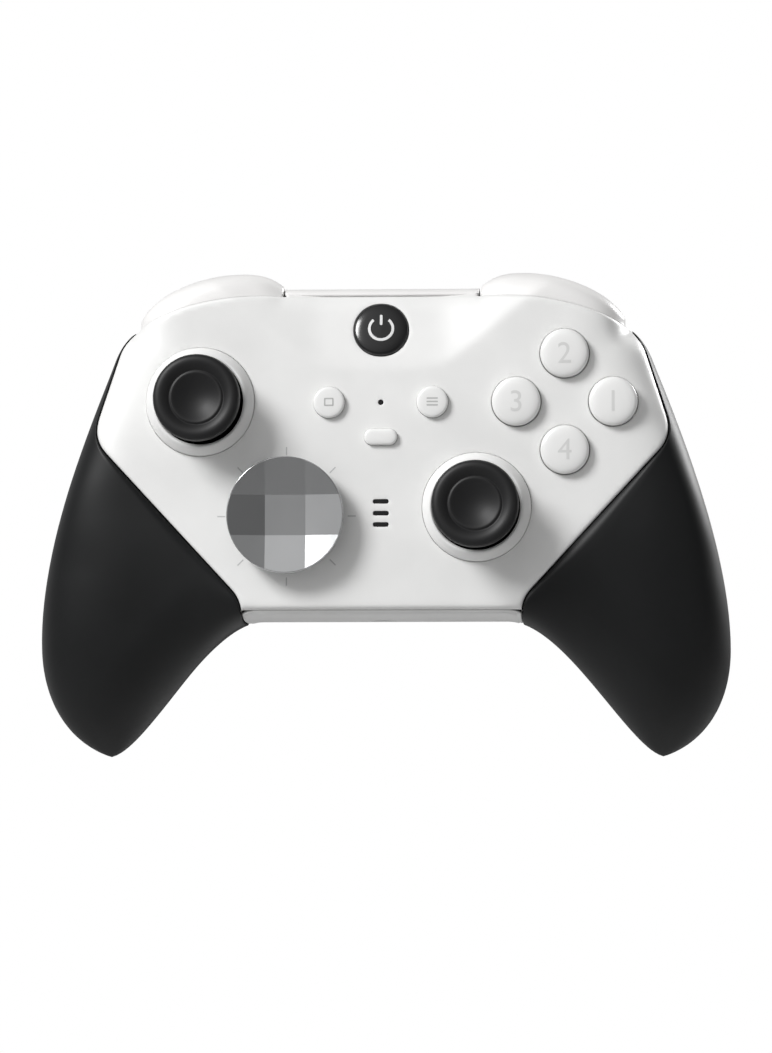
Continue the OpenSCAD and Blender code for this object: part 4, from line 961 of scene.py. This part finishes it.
def small_buttons():
    """View, menu and profile buttons: low domes and a low pill, standing a little above the face."""
    r = MENU_R
    dome = [(0.01, -3), (r, -3), (r, 0.8), (r - 0.12, 1.15), (r - 0.45, 1.38), (r - 1.4, 1.48), (0.01, 1.5)]
    view, menu = (-MENU_AT[0], MENU_AT[1]), MENU_AT
    for name, c in (("view_button", view), ("menu_button", menu)):
        p, f = lathe(c, at_face(c), dome, -1, 80)
        make(name + "_skin", p, f, polished_abs, name)
    levels = soften([(0, -3), (0, 0.7), (-0.12, 1.0), (-0.4, 1.2), (-0.9, 1.28), (-1.2, 1.3)])
    p, f = stack((0, PROFILE_Z), at_face((0, PROFILE_Z)), 3.7, 1.8, 1.79, levels.tolist(), -1, 96)
    make("profile_button_skin", p, f, polished_abs, "profile_button")
    # Generic signs: a window square and three bars
    ring_bar("view_sign", view, at_face(view) - 1.48, 1.05, 0.9, 0.22, 0.3, grey_ink, "view_button")
    for k in (-1, 0, 1):
        c = (menu[0], menu[1] + 0.75 * k)
        p, f = stack(c, at_face(menu) - 1.48, 1.25, 0.16, 0.15, [(0, -0.1), (0, 0.05)], -1, 24)
        make(f"menu_sign_{k + 2}", p, f, grey_ink, "menu_button", shade=False)


def ring_bar(name, c, y, a, b, r, w, material, body="housing", out=-1, depth=0.05, n=64):
    """A flat outline of a rounded rectangle, w wide, a hair above the surface at depth y."""
    points, _ = stack(c, y, a, b, r, [(-w, -0.1), (0, -0.1), (0, depth), (-w, depth)], out, n)
    points = points[:4 * n]
    make(name, points, turn_out(points, grid_faces(5, n, True) % (4 * n)), material, body, shade=False)


def guide_button():
    """Glossy domed disc on the sloping panel, with a plain power sign: a broken ring and a bar."""
    y, tilt = at_face((0, GUIDE_Z)), -math.atan(GUIDE_SLOPE)
    lie = lambda q: tilted(q, y, GUIDE_Z, tilt)
    r, n = GUIDE_R, 61
    dome = [(0.01, -3), (r, -3), (r, 0.1), (r - 0.12, 0.4), (r - 0.5, 0.62), (r - 2, 0.92), (0.01, 1.1)]
    p, f = lathe((0, GUIDE_Z), y, dome, -1, 112)
    make("guide_button_skin", lie(p), f, gloss_abs, "guide_button")
    section = ((2.3, 0.8), (2.3, 1.09), (2.9, 1.04), (2.9, 0.8))
    points = turned_rows((0, GUIDE_Z), y, section, np.radians(np.linspace(130, 410, n)), -1)
    ends = [tuple(range(0, 4 * n, n)), tuple(range(4 * n - 1, 0, -n))]
    faces = turn_out(points, [*(grid_faces(5, n) % (4 * n)), *ends])
    make("guide_sign_ring", lie(points), faces, pale_ink, "guide_button", shade=False)
    p, f = stack((0, GUIDE_Z + 2.0), y, 0.3, 1.2, 0.28, [(0, 0.8), (0, 1.12)], -1, 32)
    make("guide_sign_bar", lie(p), f, pale_ink, "guide_button", shade=False)


def pair_button():
    """Small round button standing in the top plate."""
    dome = [(0.01, 0), (1.4, 0), (1.4, 5.6), (1.3, 5.85), (1.0, 6.0), (0.01, 6.05)]
    p, f = lathe((PAIR_AT[0], 0), 0, dome, -1, 40)
    points = joined(p[:, 0], PAIR_AT[1] + p[:, 2], PAIR_FOOT - p[:, 1])
    make("pair_button_skin", points, turn_out(points, f), smooth_abs, "pair_button")


def disc_ticks():
    """Eight fine printed ticks round the direction disc, laid along the face."""
    for k in range(8):
        a = math.pi / 4 * k
        along, across = np.array([math.cos(a), math.sin(a)]), np.array([-math.sin(a), math.cos(a)])
        t, w = np.meshgrid(np.linspace(13.5, 15.3, 6), [-0.14, 0.14], indexing="ij")
        q = np.array(DPAD) + t[..., None] * along + w[..., None] * across
        top = on_face(q.reshape(-1, 2), -INK)
        points, faces = slab(top, top + [0, 0.2, 0], grid_faces(6, 2))
        make(f"disc_tick_{k + 1}", points, faces, tick_ink, shade=False)


# Back controls

def back_marks():
    """Plain signs beside the trigger locks, long, short and none, and numerals at the paddle sockets."""
    def dot(name, x, z, r, n):
        p, f = stack((x, z), 0, r, r, r, [(0, -0.1), (0, INK)], 1, n)
        make(name + "_dot", p, f, sign_ink, shade=False)

    for s, side in ((1, "right"), (-1, "left")):
        for name, x, z, a in (("long_travel", 25.1, 13.5, 2.95), ("short_travel", 26.2, 9.8, 1.9)):
            name = f"{side}_{name}"
            ring_bar(name + "_sign", (s * x, z), 0, a, 0.7, 0.69, 0.17, sign_ink, out=1, depth=INK, n=48)
            dot(name, s * (x - a + 0.75), z, 0.42, 24)
        dot(f"{side}_no_travel", s * 27.4, 5.8, 0.65, 32)
        for k, (_, z) in enumerate(PADDLES):
            label = str(k + 1 if s > 0 else k + 3)
            numeral(f"paddle_numeral_{label}", label, (s * 15.2, z), 0.0, 2.4, sign_ink, "housing", 1)


def trigger_locks():
    """Drop-shaped gloss knobs in their channels."""
    n, base = 72, 3.4
    q = full_turn(n)
    radius = 1.9 + 0.6 * np.maximum(np.cos(q - 2.2), 0) ** 3
    levels = soften([(0.99, -6), (1, -0.5), (0.96, -0.15), (0.8, 0.0), (0.4, 0.02), (0.01, 0.02)])
    points = turned_rows(LOCK_AT, base, [(k * radius, h) for k, h in levels], q, 1)
    faces = [*grid_faces(len(levels), n, True), np.arange(n)[::-1], np.arange(n) + (len(levels) - 1) * n]
    both_sides("trigger_lock_skin", points, [f[::-1] for f in faces], gloss_abs, "trigger_lock")


def socket_ramps():
    """Slanted white guide in the lower outer corner of each paddle socket."""
    ramp = np.array([[22.25, -0.95, -2.2], [19.9, -0.95, -2.2], [20.3, -2.0, -1.5], [22.25, -3.2, -0.3]])
    for k, (s, i) in enumerate(((1, 0), (1, 1), (-1, 0), (-1, 1))):
        top = ramp * [s, 1, 1] + [0, 0, PADDLES[i][1]]
        points, faces = slab(top, top - [0, 0.8, 0], np.array([[0, 1, 2, 3]]))
        make(f"paddle_socket_ramp_{k + 1}", points, faces, white_abs, shade=False)


def paddle_buttons():
    """Round buttons in the paddle bays, with a flat crown."""
    crown = [(0.01, -5), (1.85, -5), (1.85, -0.1), (1.75, 0.12), (1.4, 0.2), (0.01, 0.2)]
    for i, (s, k) in enumerate(((1, 0), (-1, 0), (1, 1), (-1, 1))):
        name = f"paddle_button_{i + 1}"
        p, f = lathe((s * PADDLES[k][0], PADDLES[k][1]), 0, crown, 1, 56)
        make(name + "_skin", p, f, smooth_abs, name)


for build in (front_shell, back_shell, grips, top_plate, usb_mouth, top_lip, bumper_lips, shoulder_walls,
              bumpers, triggers, sticks, direction_disc, disc_ticks, face_buttons, small_buttons,
              guide_button, pair_button, trigger_locks, paddle_buttons, socket_ramps, back_marks):
    build()

# Inner parts keep their solids and take these finishes
kept = ((black_abs, "mid_frame usb_socket audio_jack paddle_switches"),
        (black_abs, "left_stick_base right_stick_base dpad_base"),
        (board_mask, "main_board button_board"), (cell_wrap, "battery_pack"),
        (gold_plate, "charge_contacts"), (dark_lens, "status_lens profile_light_pipes"),
        (soft_mat, "button_mat left_stick_hub right_stick_hub"),
        (bright_steel, "tap_switches case_screws left_stick_ring right_stick_ring dpad_ring bumper_pins"),
        (bright_steel, "left_trigger_pin right_trigger_pin left_trigger_spring right_trigger_spring"),
        (bright_steel, "rumble_motors left_rumble_weight right_rumble_weight"))
for material, names in kept:
    for name in names.split():
        materials = bpy.data.objects[name].data.materials
        materials.clear()
        materials.append(material)


# Studio

def level_sheet(name, x, y, z, material):
    """Level rectangle between two x and two y, lighting the object but out of the camera's sight."""
    me = bpy.data.meshes.new(name)
    me.from_pydata([(x[0], y[0], z), (x[1], y[0], z), (x[1], y[1], z), (x[0], y[1], z)], [], [(0, 1, 2, 3)])
    o = bpy.data.objects.new(name, me)
    bpy.context.scene.collection.objects.link(o)
    me.materials.append(material)
    o.visible_camera = False
    return o


FLOOR_Z = -0.33
# Matt floor paint and card, pale grey, to throw soft light up
floor_paint = speckled("pale_floor_paint", "#A8A8A8", "#B0B0B0", 0.7, 2.0, 0.02)
card_paper = speckled("grey_card_paper", "#8A8A8A", "#929292", 0.8, 2.0, 0.02)
level_sheet("studio_floor", (-6, 6), (-6, 6), FLOOR_Z, floor_paint)
# The card shows only in reflections
card = level_sheet("shade_card", (-1.2, 1.2), (-3, -0.25), FLOOR_Z + 0.01, card_paper)
card.visible_diffuse = card.visible_shadow = False


def studio_air():
    """Soft studio round the object: brightest towards the key side, plain white where the camera sees it.

    With d the cosine to the key side and t = (d - 0.3) / 0.7, the strength is 0.1 + 0.7 t^3, plus up to
    0.12 from above."""
    world = bpy.data.worlds.new("studio_air")
    bpy.context.scene.world = world
    world.use_nodes = True
    tree = world.node_tree
    way = add(tree, "TexCoord").outputs["Generated"]
    key = add(tree, "VectorMath", {"operation": "DOT_PRODUCT"}, {1: (-0.45, -0.75, 0.48)},
              {0: way})
    t = add(tree, "MapRange", values={"From Min": 0.3, "From Max": 1.0},
            links={"Value": key.outputs["Value"]})
    cube = add(tree, "Math", {"operation": "POWER"}, {1: 3.0}, {0: t.outputs["Result"]})
    side = add(tree, "Math", {"operation": "MULTIPLY_ADD"}, {1: 0.7, 2: 0.1},
               {0: cube.outputs[0]})
    up = add(tree, "SeparateXYZ", links={"Vector": way})
    above = add(tree, "MapRange", values={"From Min": 0.1, "From Max": 1.0, "To Max": 0.12},
                links={"Value": up.outputs["Z"]})
    both = add(tree, "Math", {"operation": "ADD"},
               links={0: side.outputs[0], 1: above.outputs["Result"]})
    lit = tree.nodes["Background"]
    lit.inputs["Color"].default_value = (1, 1, 1, 1)
    tree.links.new(both.outputs[0], lit.inputs["Strength"])
    seen = add(tree, "Background", values={"Color": (1, 1, 1, 1), "Strength": 1.0})
    ray = add(tree, "LightPath").outputs["Is Camera Ray"]
    mix = add(tree, "MixShader", links={0: ray, 1: lit.outputs[0], 2: seen.outputs[0]})
    tree.links.new(mix.outputs[0], tree.nodes["World Output"].inputs["Surface"])


studio_air()


def lamp(name, place, size, power):
    """Square area light at a place, turned to face the middle."""
    light = bpy.data.lights.new(name, "AREA")
    light.size = size
    light.energy = power
    o = bpy.data.objects.new(name, light)
    bpy.context.scene.collection.objects.link(o)
    o.location = place
    o.rotation_euler = (-mathutils.Vector(place)).to_track_quat("-Z", "Y").to_euler()


lamp("key_light", (-0.75, -0.8, 0.72), 0.45, 14.5)
lamp("fill_light", (0.9, -0.8, 0.1), 0.8, 0.4)
lamp("rear_light", (0.95, 0.85, 0.6), 0.5, 18)
lamp("rear_fill", (-0.8, 0.9, 0.1), 1.4, 2.5)

cam = bpy.data.cameras.new("photo_camera")
eye = bpy.data.objects.new("photo_camera", cam)
bpy.context.scene.collection.objects.link(eye)
cam.sensor_fit = "VERTICAL"
cam.sensor_height = 36
cam.lens = 180
aim = mathutils.Vector((0, -0.012, 0.0))
az, el, far = math.radians(3), math.radians(-4), 1.18
way = (math.sin(az) * math.cos(el), -math.cos(az) * math.cos(el), math.sin(el))
eye.location = aim + far * mathutils.Vector(way)
eye.rotation_euler = (aim - eye.location).to_track_quat("-Z", "Y").to_euler()
cam.clip_start, cam.clip_end = 0.05, 40
bpy.context.scene.camera = eye
bpy.context.scene.view_settings.view_transform = "Standard"
